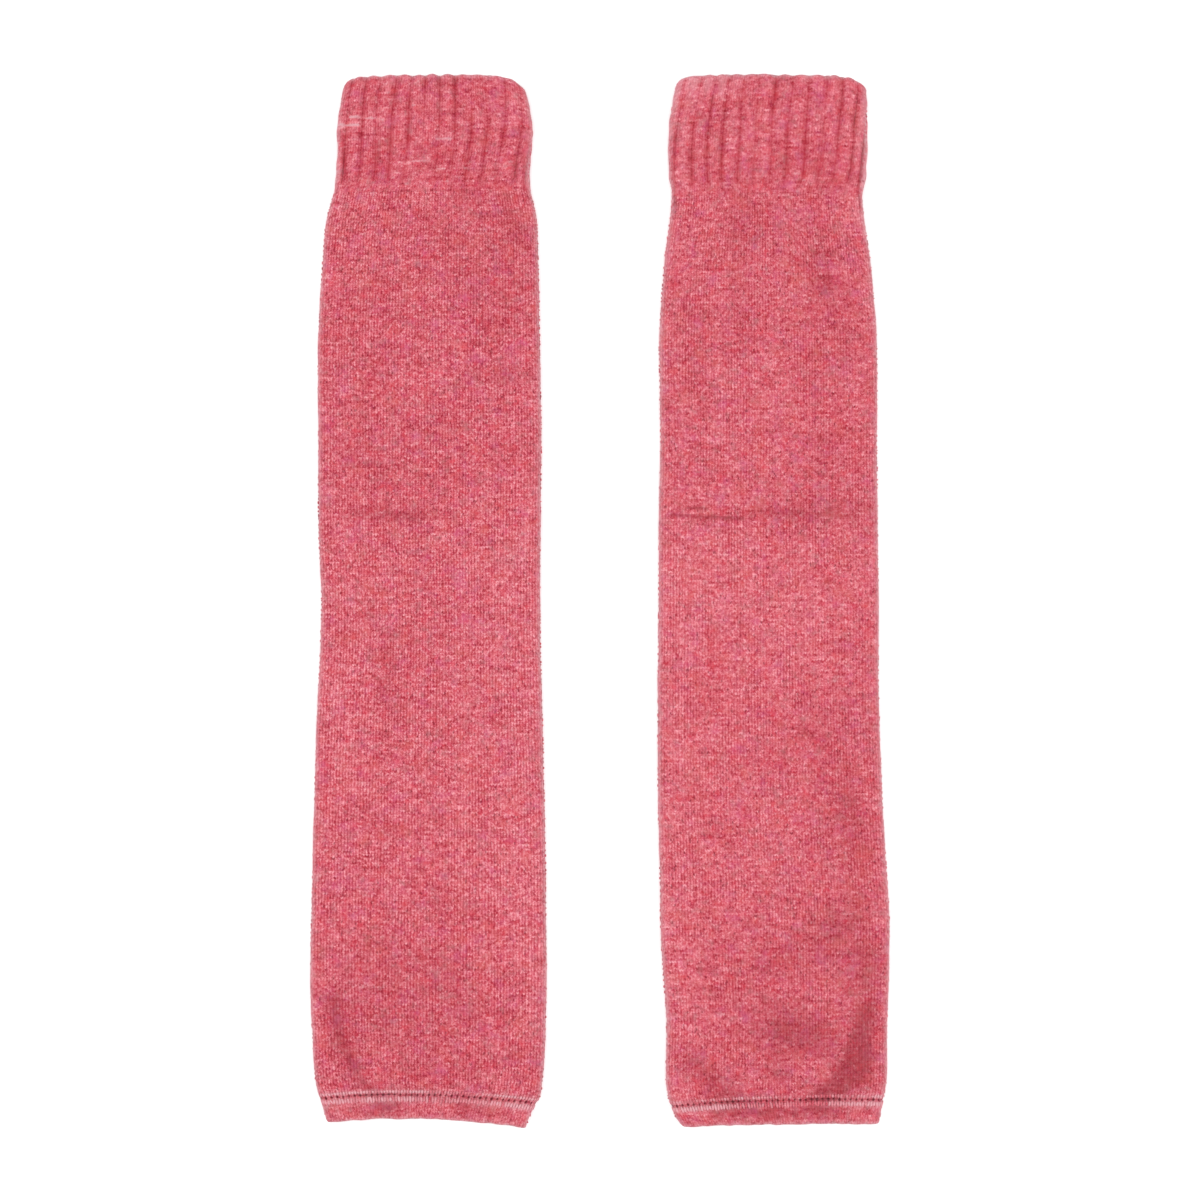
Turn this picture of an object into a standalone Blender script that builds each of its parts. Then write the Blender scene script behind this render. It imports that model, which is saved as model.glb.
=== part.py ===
"""A pair of leg warmers in melange knit, lying flat side by side.

Each leg warmer is one knitted tube pressed flat: a ribbed cuff at its upper end (+Y), a plain
jersey leg, and a hem turned in at its lower end (-Y). Every piece is a closed wall of cloth
that runs all round the flattened tube, between an outer loop and an inner one. A ring is such
a pair of loops at one height; a piece is lofted through its rings.

X runs from the left leg warmer to the right one, Y from hem to cuff, and the undersides rest
on Z = 0. The tables and constants are in millimetres, the meshes in metres.
"""

import math
from collections import namedtuple

import bmesh
import bpy

MM = 0.001
COLLECTION_NAME = "pair_of_leg_warmers"

# The cloth
LEG_WALL = 1.5
CUFF_WALL = 1.6
HEM_WALL = 1.9  # two layers, turned in and pressed
SEAM_GAP = 0.3  # between pieces that are knitted or stitched into one another
LEAST_AIR = 0.4  # between the upper and the lower layer under a crease

# The folded edges, where the upper layer turns under
FOLD_SWELL = 0.45  # how far the cloth stands up beside a fold
FOLD_SWELL_INSET = 3.5  # from the edge to the top of that swelling
FOLD_SWELL_WIDTH = 4.5

# The ribbed cuff, 3 wales plain and 3 purl
RIBS = 26
RIB_LEAN_PER_MM = 0.010  # in ribs, so the ribs lean to the left on the way down
RIB_SHIFT_AT_MOUTH = 0.51  # in ribs, from the middle to the nearest furrow on the right
RIB_FADE = 8.0  # over which the ribs run out into the leg
RAISED_RIBS = 8.0  # to either side of the middle of the top, so they reach round the folds
RIB_LOWEST = 0.17  # of the height: below it the underside is plain and flat
RIB_FULL = 0.50  # of the height: above it the ribs stand out in full
MOUTH_CORNER_REACH = 10.0  # how far down the rounding of the mouth's corners is felt
MOUTH_RIM = 1.2  # the last stretch, where the two layers close up a little

LENGTHWISE_SHIFT = 0.4  # brings the middle of the pair's length to Y = 0

# Loop points
FLAT_TOP_STEPS = 19
FLAT_UNDERSIDE_STEPS = 10
FOLD_STEPS = 6

Edge = namedtuple("Edge", "y left right")
Lean = namedtuple("Lean", "y rise bow")
Height = namedtuple("Height", "distance height")  # the distance is from the piece's datum seam
Corner = namedtuple("Corner", "drop power")
Crease = namedtuple("Crease", "path width depth")
RibPoint = namedtuple("RibPoint", "phase raised")
LoopPoint = namedtuple("LoopPoint", "x z nx nz")
Leg = namedtuple(
    "Leg", "side edges leans hem_seam cuff_seam mouth left_corner right_corner creases"
)
Piece = namedtuple("Piece", "name wall heights datum rings ribbed")

# One rib, from a furrow to the next: where its points lie and how far they are raised.
RIB_POINTS = (
    RibPoint(0.00, -0.45),
    RibPoint(0.20, 0.22),
    RibPoint(0.50, 0.45),
    RibPoint(0.80, 0.22),
)

# The left and the right edge of each leg warmer, from hem to mouth.
LEFT_EDGES = (
    Edge(-210.0, -108.9, -29.4),
    Edge(-206.8, -109.7, -28.2),
    Edge(-202.0, -110.9, -25.9),
    Edge(-198.5, -112.2, -24.0),
    Edge(-193.0, -113.6, -23.1),
    Edge(-180.0, -114.6, -22.1),
    Edge(-152.0, -115.7, -21.5),
    Edge(-104.0, -114.8, -21.8),
    Edge(-48.0, -113.2, -23.0),
    Edge(-4.0, -111.4, -24.0),
    Edge(32.0, -112.6, -23.8),
    Edge(64.0, -112.5, -23.5),
    Edge(104.0, -112.6, -24.1),
    Edge(136.0, -110.9, -24.7),
    Edge(152.0, -109.3, -25.4),
    Edge(160.0, -107.2, -26.9),
    Edge(168.0, -105.2, -28.5),
    Edge(180.0, -104.8, -27.6),
    Edge(188.0, -104.8, -27.2),
    Edge(196.0, -103.9, -28.3),
    Edge(204.0, -102.5, -30.2),
)
RIGHT_EDGES = (
    Edge(-210.2, 32.8, 111.3),
    Edge(-206.5, 30.3, 111.9),
    Edge(-202.0, 28.3, 112.8),
    Edge(-198.4, 27.2, 113.6),
    Edge(-192.0, 26.4, 114.5),
    Edge(-168.0, 26.6, 114.8),
    Edge(-150.0, 25.3, 115.4),
    Edge(-128.0, 24.2, 115.7),
    Edge(-104.0, 23.9, 114.3),
    Edge(-80.0, 23.3, 112.9),
    Edge(-40.0, 23.2, 111.5),
    Edge(0.0, 23.5, 111.3),
    Edge(32.0, 23.7, 111.0),
    Edge(64.0, 24.2, 110.7),
    Edge(104.0, 23.8, 110.6),
    Edge(136.0, 25.9, 108.0),
    Edge(152.0, 28.0, 105.7),
    Edge(162.0, 28.8, 104.9),
    Edge(172.0, 28.0, 106.0),
    Edge(190.0, 28.1, 106.6),
    Edge(198.0, 29.1, 106.5),
    Edge(205.0, 30.3, 105.9),
)

# How each ring lies: rise is how much higher its right end is than its left end, and bow how
# much higher its middle is than its ends.
LEFT_LEANS = (
    Lean(-207.7, -2.4, 2.5),
    Lean(-197.9, -2.0, 2.3),
    Lean(-185.0, -1.0, 1.0),
    Lean(-165.0, 0.0, 0.0),
    Lean(150.0, 0.4, 0.2),
    Lean(163.5, 1.0, 0.5),
    Lean(210.2, 0.4, 0.8),
)
RIGHT_LEANS = (
    Lean(-209.2, 1.2, 0.3),
    Lean(-200.0, 2.6, 1.0),
    Lean(-187.0, 1.2, 0.5),
    Lean(-167.0, 0.0, 0.0),
    Lean(150.0, 0.3, 0.3),
    Lean(162.5, 0.8, 0.8),
    Lean(210.4, -0.4, 1.0),
)

# How high the flattened tube stands. The hem and the leg measure from the hem seam, the cuff
# from the cuff seam.
HEM_HEIGHTS = (
    Height(-9.7, 4.4),
    Height(-7.2, 4.9),
    Height(-3.0, 4.9),
    Height(0.0, 4.4),
)
LEG_HEIGHTS = (
    Height(0.0, 4.4),
    Height(4.0, 5.1),
    Height(12.0, 5.3),
    Height(30.0, 4.8),
    Height(60.0, 4.6),
    Height(300.0, 4.6),
    Height(345.0, 4.8),
    Height(362.0, 4.8),
)
CUFF_HEIGHTS = (
    Height(0.0, 4.8),
    Height(10.0, 4.7),
    Height(42.0, 4.7),
    Height(45.5, 4.5),
    Height(47.5, 4.1),
)

# Where the rings of each piece lie, by distance from the same seams. The leg's and the cuff's
# last rings follow from their lengths.
HEM_RINGS = (-9.7, -8.2, -4.2, -SEAM_GAP / 2)
LEG_RINGS = (
    SEAM_GAP / 2, 3.5, 9.0, 18.0, 32.0, 50.0, 70.0, 92.0, 114.0, 136.0, 158.0, 180.0, 200.0, 216.0,
    226.5, 232.0, 237.5, 250.0, 270.0, 290.0, 308.0, 325.0, 340.0, 352.0,
)
CUFF_RINGS = (SEAM_GAP / 2, 5.0, 12.0, 24.0, 36.0, 43.0)

# The main creases of the upper layer: soft troughs along a path.
LEFT_CREASES = (
    Crease(((-97.0, 34.0), (-78.0, 33.6), (-60.0, 34.2)), 2.6, 0.50),
    Crease(((-98.0, 121.0), (-74.0, 110.0)), 6.0, 0.60),
    Crease(((-35.0, 159.0), (-34.0, 147.0)), 6.5, 0.55),
    Crease(((-84.5, -17.0), (-85.0, -42.0)), 6.0, 0.45),
    Crease(((-106.0, -158.0), (-103.0, -176.0), (-97.0, -193.0), (-86.0, -199.0)), 6.5, 0.80),
    Crease(((-66.0, -170.0), (-64.0, -190.0)), 11.0, 0.40),
    Crease(((-32.0, -172.0), (-30.0, -192.0)), 6.0, 0.75),
)
RIGHT_CREASES = (
    Crease(((30.0, 34.2), (58.0, 34.8)), 2.6, 0.55),
    Crease(((62.0, 35.0), (101.0, 33.6)), 2.6, 0.25),
    Crease(((55.5, 157.0), (55.0, 130.0), (56.5, 103.0)), 6.5, 0.50),
    Crease(((88.0, 136.0), (90.0, 125.0)), 6.0, 0.40),
    Crease(((98.0, 110.0), (97.0, 98.0)), 6.0, 0.40),
    Crease(((89.0, 63.0), (88.0, 51.0)), 6.0, 0.35),
    Crease(((100.0, -80.0), (101.0, -98.0)), 6.0, 0.40),
    Crease(((100.0, -126.0), (84.0, -138.0), (68.0, -146.0)), 7.5, 0.50),
    Crease(((72.0, -172.0), (86.0, -175.0)), 9.0, 0.45),
    Crease(((106.5, -142.0), (107.0, -163.0), (102.5, -186.0), (90.0, -198.0)), 6.0, 0.90),
    Crease(((35.0, -182.0), (52.0, -199.0)), 6.0, 0.60),
)

LEFT_LEG = Leg(
    side="left",
    edges=LEFT_EDGES,
    leans=LEFT_LEANS,
    hem_seam=-197.9,
    cuff_seam=163.5,
    mouth=210.1,
    left_corner=Corner(4.5, 20),
    right_corner=Corner(6.5, 9),
    creases=LEFT_CREASES,
)
RIGHT_LEG = Leg(
    side="right",
    edges=RIGHT_EDGES,
    leans=RIGHT_LEANS,
    hem_seam=-200.0,
    cuff_seam=162.5,
    mouth=210.3,
    left_corner=Corner(4.0, 18),
    right_corner=Corner(4.8, 14),
    creases=RIGHT_CREASES,
)


def table_value(table, column, at):
    """The named column of a table, on a smooth curve through its rows. The first column is the place."""
    if at <= table[0][0]:
        return getattr(table[0], column)
    if at >= table[-1][0]:
        return getattr(table[-1], column)
    upper = next(i for i, row in enumerate(table) if row[0] > at)

    def slope(i):
        before, after = table[max(i - 1, 0)], table[min(i + 1, len(table) - 1)]
        return (getattr(after, column) - getattr(before, column)) / (after[0] - before[0])

    low, high = table[upper - 1], table[upper]
    span = high[0] - low[0]
    t = (at - low[0]) / span
    from_values = getattr(low, column) * (1 + 2 * t) * (1 - t) ** 2
    from_values += getattr(high, column) * (3 - 2 * t) * t**2
    from_slopes = slope(upper - 1) * t * (1 - t) ** 2 - slope(upper) * t**2 * (1 - t)
    return from_values + span * from_slopes


def eased(value):
    """0 up to 0, 1 from 1 on, and a smooth step between them."""
    t = min(max(value, 0.0), 1.0)
    return t * t * (3 - 2 * t)


def distance_to_path(x, y, path):
    nearest = math.inf
    for (x0, y0), (x1, y1) in zip(path, path[1:]):
        run_x, run_y = x1 - x0, y1 - y0
        t = ((x - x0) * run_x + (y - y0) * run_y) / (run_x**2 + run_y**2)
        t = min(max(t, 0.0), 1.0)
        nearest = min(nearest, math.hypot(x - x0 - t * run_x, y - y0 - t * run_y))
    return nearest


def crease_depth(leg, x, y):
    """How far the creases press the upper layer down at a point."""
    total = 0.0
    for crease in leg.creases:
        away = distance_to_path(x, y, crease.path) / crease.width
        total += crease.depth * math.exp(-(away**2))
    return total


def loop_length(half_width, height):
    return 4 * half_width + (math.pi - 2) * height


def loop_point(half_width, height, along):
    """The point at a distance along the flattened tube's outline, and its outward normal.

    The outline starts at the middle of the underside and runs to +X, round the right fold,
    back over the top and round the left fold. The folds are half circles.
    """
    radius = height / 2
    flat = half_width - radius
    fold = math.pi * radius
    if along < flat:
        return LoopPoint(along, 0.0, 0.0, -1.0)
    along -= flat
    if along < fold:
        angle = along / radius
        nx, nz = math.sin(angle), -math.cos(angle)
        return LoopPoint(flat + radius * nx, radius + radius * nz, nx, nz)
    along -= fold
    if along < 2 * flat:
        return LoopPoint(flat - along, height, 0.0, 1.0)
    along -= 2 * flat
    if along < fold:
        angle = along / radius
        nx, nz = -math.sin(angle), math.cos(angle)
        return LoopPoint(-flat + radius * nx, radius + radius * nz, nx, nz)
    return LoopPoint(along - fold - flat, 0.0, 0.0, -1.0)


def plain_stations(half_width, height):
    """Distances along the outline of a plain ring's points, all of them with no relief."""
    radius = height / 2
    flat = half_width - radius
    fold = math.pi * radius
    runs = (
        (0.0, flat, FLAT_UNDERSIDE_STEPS // 2),
        (flat, fold, FOLD_STEPS),
        (flat + fold, 2 * flat, FLAT_TOP_STEPS),
        (3 * flat + fold, fold, FOLD_STEPS),
        (3 * flat + 2 * fold, flat, FLAT_UNDERSIDE_STEPS // 2),
    )
    for start, length, steps in runs:
        for step in range(steps):
            yield start + length * step / steps, 0.0


def rib_shift(leg, y):
    """How far a furrow stands to the right of the middle at this height, in ribs."""
    return RIB_SHIFT_AT_MOUTH - RIB_LEAN_PER_MM * (leg.mouth - y)


def ribbed_stations(leg, y, half_width, height):
    """Distances along the outline of a ribbed ring's points, each with how far it is raised.

    The underside rests flat, with one point to a rib; the folds and the top have each rib's own.
    """
    pitch = loop_length(half_width, height) / RIBS
    shift = rib_shift(leg, y)
    for rib in range(1, RIBS + 1):
        for point in RIB_POINTS:
            place = rib + point.phase
            if abs(place - RIBS / 2) < RAISED_RIBS:
                yield (place - shift) * pitch, point.raised
            elif point.phase == 0:
                yield (place - shift) * pitch, 0.0


def corner_drop(leg, y, across):
    """How far the mouth's rounded corners pull a ring's point down; across is -1 to 1."""
    corner = leg.left_corner if across < 0 else leg.right_corner
    return corner.drop * math.exp((y - leg.mouth) / MOUTH_CORNER_REACH) * abs(across) ** corner.power


def ring_height(leg, y, across):
    """Where a ring whose middle is at y passes; across is -1 at its left end and 1 at its right."""
    rise = table_value(leg.leans, "rise", y)
    bow = table_value(leg.leans, "bow", y)
    return y + rise / 2 * across - bow * across**2 - corner_drop(leg, y, across)


def lift_of(leg, half_width, middle, x, y):
    """How far the upper layer stands above its even height: up beside the folds, down in a crease."""
    inset = (half_width - abs(x) - FOLD_SWELL_INSET) / FOLD_SWELL_WIDTH
    return FOLD_SWELL * math.exp(-(inset**2)) - crease_depth(leg, middle + x, y)


def ring_of(leg, piece, distance):
    """The outer and the inner loop of a piece's ring, as lists of (x, y, z)."""
    y = getattr(leg, piece.datum) + distance
    height = table_value(piece.heights, "height", distance)
    air = height - 2 * piece.wall
    left = table_value(leg.edges, "left", ring_height(leg, y, -1))
    right = table_value(leg.edges, "right", ring_height(leg, y, 1))
    middle, half_width = (left + right) / 2, (right - left) / 2
    if piece.ribbed:
        stations = ribbed_stations(leg, y, half_width, height)
    else:
        stations = plain_stations(half_width, height)
    outer, inner = [], []
    for along, raised in stations:
        point = loop_point(half_width, height, along)
        here = ring_height(leg, y, point.x / half_width)
        lift = max(lift_of(leg, half_width, middle, point.x, here), LEAST_AIR - air)
        relief = raised * eased(distance / RIB_FADE)
        relief *= eased((point.z / height - RIB_LOWEST) / (RIB_FULL - RIB_LOWEST))
        for loop, out in ((outer, relief), (inner, -piece.wall)):
            z = point.z + point.nz * out
            layer = eased(((z if loop is inner else point.z) - piece.wall) / air)
            loop.append((middle + point.x + point.nx * out, here + LENGTHWISE_SHIFT, z + lift * layer))
    return outer, inner


def lofted_wall(name, rings):
    """A closed wall of cloth through rings of outer and inner loops, with a rim at each end."""
    mesh = bmesh.new()
    rows = []
    for outer, inner in rings:
        rows.append([[mesh.verts.new([c * MM for c in point]) for point in loop] for loop in (outer, inner)])
    count = len(rows[0][0])
    for i in range(count):
        j = (i + 1) % count
        for (outer, inner), (next_outer, next_inner) in zip(rows, rows[1:]):
            mesh.faces.new((outer[i], outer[j], next_outer[j], next_outer[i]))
            mesh.faces.new((inner[j], inner[i], next_inner[i], next_inner[j]))
        for outer, inner in (rows[0], rows[-1]):
            mesh.faces.new((outer[i], outer[j], inner[j], inner[i]))
    bmesh.ops.recalc_face_normals(mesh, faces=mesh.faces)
    data = bpy.data.meshes.new(name)
    mesh.to_mesh(data)
    mesh.free()
    data.shade_smooth()
    data.set_sharp_from_angle(angle=math.radians(50))
    return data


def knit_material(name, colour, roughness):
    material = bpy.data.materials.new(name)
    material.use_nodes = True
    shader = material.node_tree.nodes["Principled BSDF"]
    shader.inputs["Base Color"].default_value = (*colour, 1.0)
    shader.inputs["Roughness"].default_value = roughness
    shader.inputs["Metallic"].default_value = 0.0
    material.diffuse_color = (*colour, 1.0)
    return material


def clear_scene():
    for obj in list(bpy.data.objects):
        bpy.data.objects.remove(obj, do_unlink=True)


def pieces_of(leg):
    """The three lengths of a leg warmer, with rings placed by distance from each one's datum seam."""
    leg_rings = (*LEG_RINGS, leg.cuff_seam - leg.hem_seam - SEAM_GAP / 2)
    cuff_length = leg.mouth - leg.cuff_seam
    cuff_rings = (*CUFF_RINGS, cuff_length - MOUTH_RIM, cuff_length)
    return (
        Piece("hem_band", HEM_WALL, HEM_HEIGHTS, "hem_seam", HEM_RINGS, ribbed=False),
        Piece("leg_tube", LEG_WALL, LEG_HEIGHTS, "hem_seam", leg_rings, ribbed=False),
        Piece("rib_cuff", CUFF_WALL, CUFF_HEIGHTS, "cuff_seam", cuff_rings, ribbed=True),
    )


def build():
    clear_scene()
    collection = bpy.data.collections.new(COLLECTION_NAME)
    bpy.context.scene.collection.children.link(collection)
    materials = {
        "hem_band": knit_material("hem_knit", (0.64, 0.135, 0.17), 0.92),
        "leg_tube": knit_material("jersey_knit", (0.665, 0.138, 0.178), 0.9),
        "rib_cuff": knit_material("rib_knit", (0.66, 0.135, 0.175), 0.9),
    }
    for leg in (LEFT_LEG, RIGHT_LEG):
        for piece in pieces_of(leg):
            name = f"{leg.side}_{piece.name}"
            rings = [ring_of(leg, piece, distance) for distance in piece.rings]
            obj = bpy.data.objects.new(name, lofted_wall(name, rings))
            obj.data.materials.append(materials[piece.name])
            collection.objects.link(obj)


build()
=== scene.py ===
"""The looks of a pair of knitted leg warmers lying flat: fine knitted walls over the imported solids.

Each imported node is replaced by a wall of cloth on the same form, with its ribs, wales, seam
groove and creases as real relief. The hem stitches are small pieces of their own, and the
stitches of the knit, finer than the wales, are in the materials. Sizes are in millimetres
until a mesh is made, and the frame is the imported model's: +X to the right, +Y from hem to
cuff, undersides on Z = 0.
"""

import math
from collections import namedtuple

import bpy
import numpy as np
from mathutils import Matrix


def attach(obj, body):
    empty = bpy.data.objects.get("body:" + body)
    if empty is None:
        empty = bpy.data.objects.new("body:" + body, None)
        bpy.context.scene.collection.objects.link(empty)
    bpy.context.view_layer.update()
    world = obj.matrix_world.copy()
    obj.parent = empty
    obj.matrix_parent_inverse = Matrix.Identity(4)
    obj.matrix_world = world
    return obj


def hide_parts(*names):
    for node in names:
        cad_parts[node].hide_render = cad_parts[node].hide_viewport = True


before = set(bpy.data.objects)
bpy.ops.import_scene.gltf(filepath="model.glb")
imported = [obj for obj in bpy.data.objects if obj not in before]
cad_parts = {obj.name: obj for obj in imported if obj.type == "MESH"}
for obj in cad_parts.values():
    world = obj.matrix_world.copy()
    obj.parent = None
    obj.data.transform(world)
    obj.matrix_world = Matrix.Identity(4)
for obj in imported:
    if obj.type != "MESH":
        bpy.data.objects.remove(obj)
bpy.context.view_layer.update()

MM = 0.001

# The cloth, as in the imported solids
LEG_WALL = 1.5
CUFF_WALL = 1.6
HEM_WALL = 1.9
LEAST_AIR = 0.4
FOLD_SWELL = 0.45
FOLD_SWELL_INSET = 3.5
FOLD_SWELL_WIDTH = 4.5
LENGTHWISE_SHIFT = 0.4

# The knit
RIBS = 26
WALES_PER_RIB = 6
WALES = RIBS * WALES_PER_RIB
COURSE = 0.87  # from one course to the next
WALE_WIDTH = 1.17
POINTS_PER_WALE = 3
WALE_GROOVE = 0.12
WALE_CROWN = 0.05
RIGHT_LEG_COURSE_START = 997  # keeps the two legs' patterns apart

# The ribs
RIB_LEAN_PER_MM = 0.010
RIB_SHIFT_AT_MOUTH = 0.51
RIB_FADE = 8.0
RIB_LOWEST = 0.17
RIB_FULL = 0.50
RIB_RAISE = 0.5
RIB_FURROW_WIDTH = 0.15  # in ribs
RIB_SHOULDER = 0.5  # the share of the depth that the shoulders take
RIB_SHOULDER_POWER = 1.8
RIB_LEAST_WALL = 0.45
SCALLOP = 0.55  # how far a rib's end stands out past the furrows beside it
SCALLOP_REACH = 4.0
MOST_SCALLOP = 1.2  # the most that a furrow's strength counts for there
HIDDEN_FURROW = 0.8
MOUTH_CORNER_REACH = 10.0

# The seam between leg and hem
SEAM_GROOVE = 0.2
SEAM_GROOVE_WIDTH = 0.9
SEAM_PIT = 0.7
SEAM_PIT_WIDTH = 0.55
WALES_PER_PIT = 2

# Unevenness of the cloth: how far apart its bumps are, in wales round the tube and along it
Unevenness = namedtuple("Unevenness", "wales length height seed")
WAVES = Unevenness(13, 26.0, 0.13, 11)
DIMPLES = Unevenness(4, 7.0, 0.05, 23)
SLACK = Unevenness(6, 5.5, 0.09, 29)
KNOTS = Unevenness(3, 2.4, 0.15, 37)  # of the ribbed cuff alone
RIB_WAVER = Unevenness(6, 12.0, 0.035, 41)  # its height is in ribs, to either side
END_LOOPS = Unevenness(2, 20.0, 0.12, 61)
END_REACH = 2.5  # how far from an end its loops are felt
PRESSED_SHARE = 0.9  # of its highest relief, which the underside loses

# How much shade is painted into the colour of the rib furrows
FURROW_SHADE = 0.75
PALEST, DARKEST = -1.5, 1.0

# The cloth is paler along its folds and its ends, the less the further from them: partly the pale fuzz
# of loose fibres, partly painted sheen
FUZZ_SHEEN_REACH = 0.8
FUZZ_SHEEN_FROM, FUZZ_SHEEN_TURN = -0.15, 0.5  # where on a fold that starts, by how far up the cloth faces
THREAD_BLOOM = 0.5  # how much the hem's thread makes the cloth paler at the stitches
THREAD_REACH = 0.65  # how far from them, in stitches

Edge = namedtuple("Edge", "y left right")
Lean = namedtuple("Lean", "y rise bow")
Height = namedtuple("Height", "distance height")
Corner = namedtuple("Corner", "drop power")
Crease = namedtuple("Crease", "path width depth dark")
RowStep = namedtuple("RowStep", "distance step")
# A furrow's offsets are in millimetres along X, its strengths are shares of a rib's full depth.
Furrow = namedtuple("Furrow", "number mouth_offset low_offset mouth upper middle low")
Leg = namedtuple(
    "Leg",
    "side edges leans hem_seam cuff_seam mouth left_corner right_corner"
    " creases furrows thread course_start",
)
Piece = namedtuple(
    "Piece",
    "name wall heights row_steps datum start end round_start round_end ribbed",
    defaults=(False, False, False),
)
Form = namedtuple("Form", "x y z nx nz up lift air wall inset")


def table_of(kind, *rows):
    """A table whose rows all are of one kind, each given as its plain values."""
    return tuple(kind(*row) for row in rows)


LEFT_EDGES = table_of(
    Edge,
    (-210, -108.9, -29.4), (-206.8, -109.7, -28.2), (-202, -110.9, -25.9),
    (-198.5, -112.2, -24), (-193, -113.6, -23.1), (-180, -114.6, -22.1), (-152, -115.7, -21.5),
    (-104, -114.8, -21.8), (-48, -113.2, -23), (-4, -111.4, -24), (32, -112.6, -23.8),
    (64, -112.5, -23.5), (104, -112.6, -24.1), (136, -110.9, -24.7), (152, -109.3, -25.4),
    (160, -107.2, -26.9), (168, -105.2, -28.5), (180, -104.8, -27.6), (188, -104.8, -27.2),
    (196, -103.9, -28.3), (204, -102.5, -30.2),
)
RIGHT_EDGES = table_of(
    Edge,
    (-210.2, 32.8, 111.3), (-206.5, 30.3, 111.9), (-202, 28.3, 112.8), (-198.4, 27.2, 113.6),
    (-192, 26.4, 114.5), (-168, 26.6, 114.8), (-150, 25.3, 115.4), (-128, 24.2, 115.7),
    (-104, 23.9, 114.3), (-80, 23.3, 112.9), (-40, 23.2, 111.5), (0, 23.5, 111.3),
    (32, 23.7, 111), (64, 24.2, 110.7), (104, 23.8, 110.6), (136, 25.9, 108), (152, 28, 105.7),
    (162, 28.8, 104.9), (172, 28, 106), (190, 28.1, 106.6), (198, 29.1, 106.5),
    (205, 30.3, 105.9),
)
LEFT_LEANS = table_of(
    Lean,
    (-207.7, -2.4, 2.5), (-197.9, -2, 2.3), (-185, -1, 1), (-165, 0, 0), (150, 0.4, 0.2),
    (163.5, 1, 0.5), (210.2, 0.4, 0.8),
)
RIGHT_LEANS = table_of(
    Lean,
    (-209.2, 1.2, 0.3), (-200, 2.6, 1), (-187, 1.2, 0.5), (-167, 0, 0), (150, 0.3, 0.3),
    (162.5, 0.8, 0.8), (210.4, -0.4, 1),
)
HEM_DEPTH = 9.7
HEM_HEIGHTS = table_of(
    Height,
    (-HEM_DEPTH, 4.4), (-7.2, 4.9), (-3, 4.9), (0, 4.4),
)
LEG_HEIGHTS = table_of(
    Height,
    (0, 4.4), (4, 5.1), (12, 5.3), (30, 4.8), (60, 4.6), (300, 4.6), (345, 4.8), (362, 4.8),
)
CUFF_HEIGHTS = table_of(
    Height,
    (0, 4.8), (10, 4.7), (42, 4.7), (45.5, 4.5), (47.5, 4.1),
)
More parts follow.
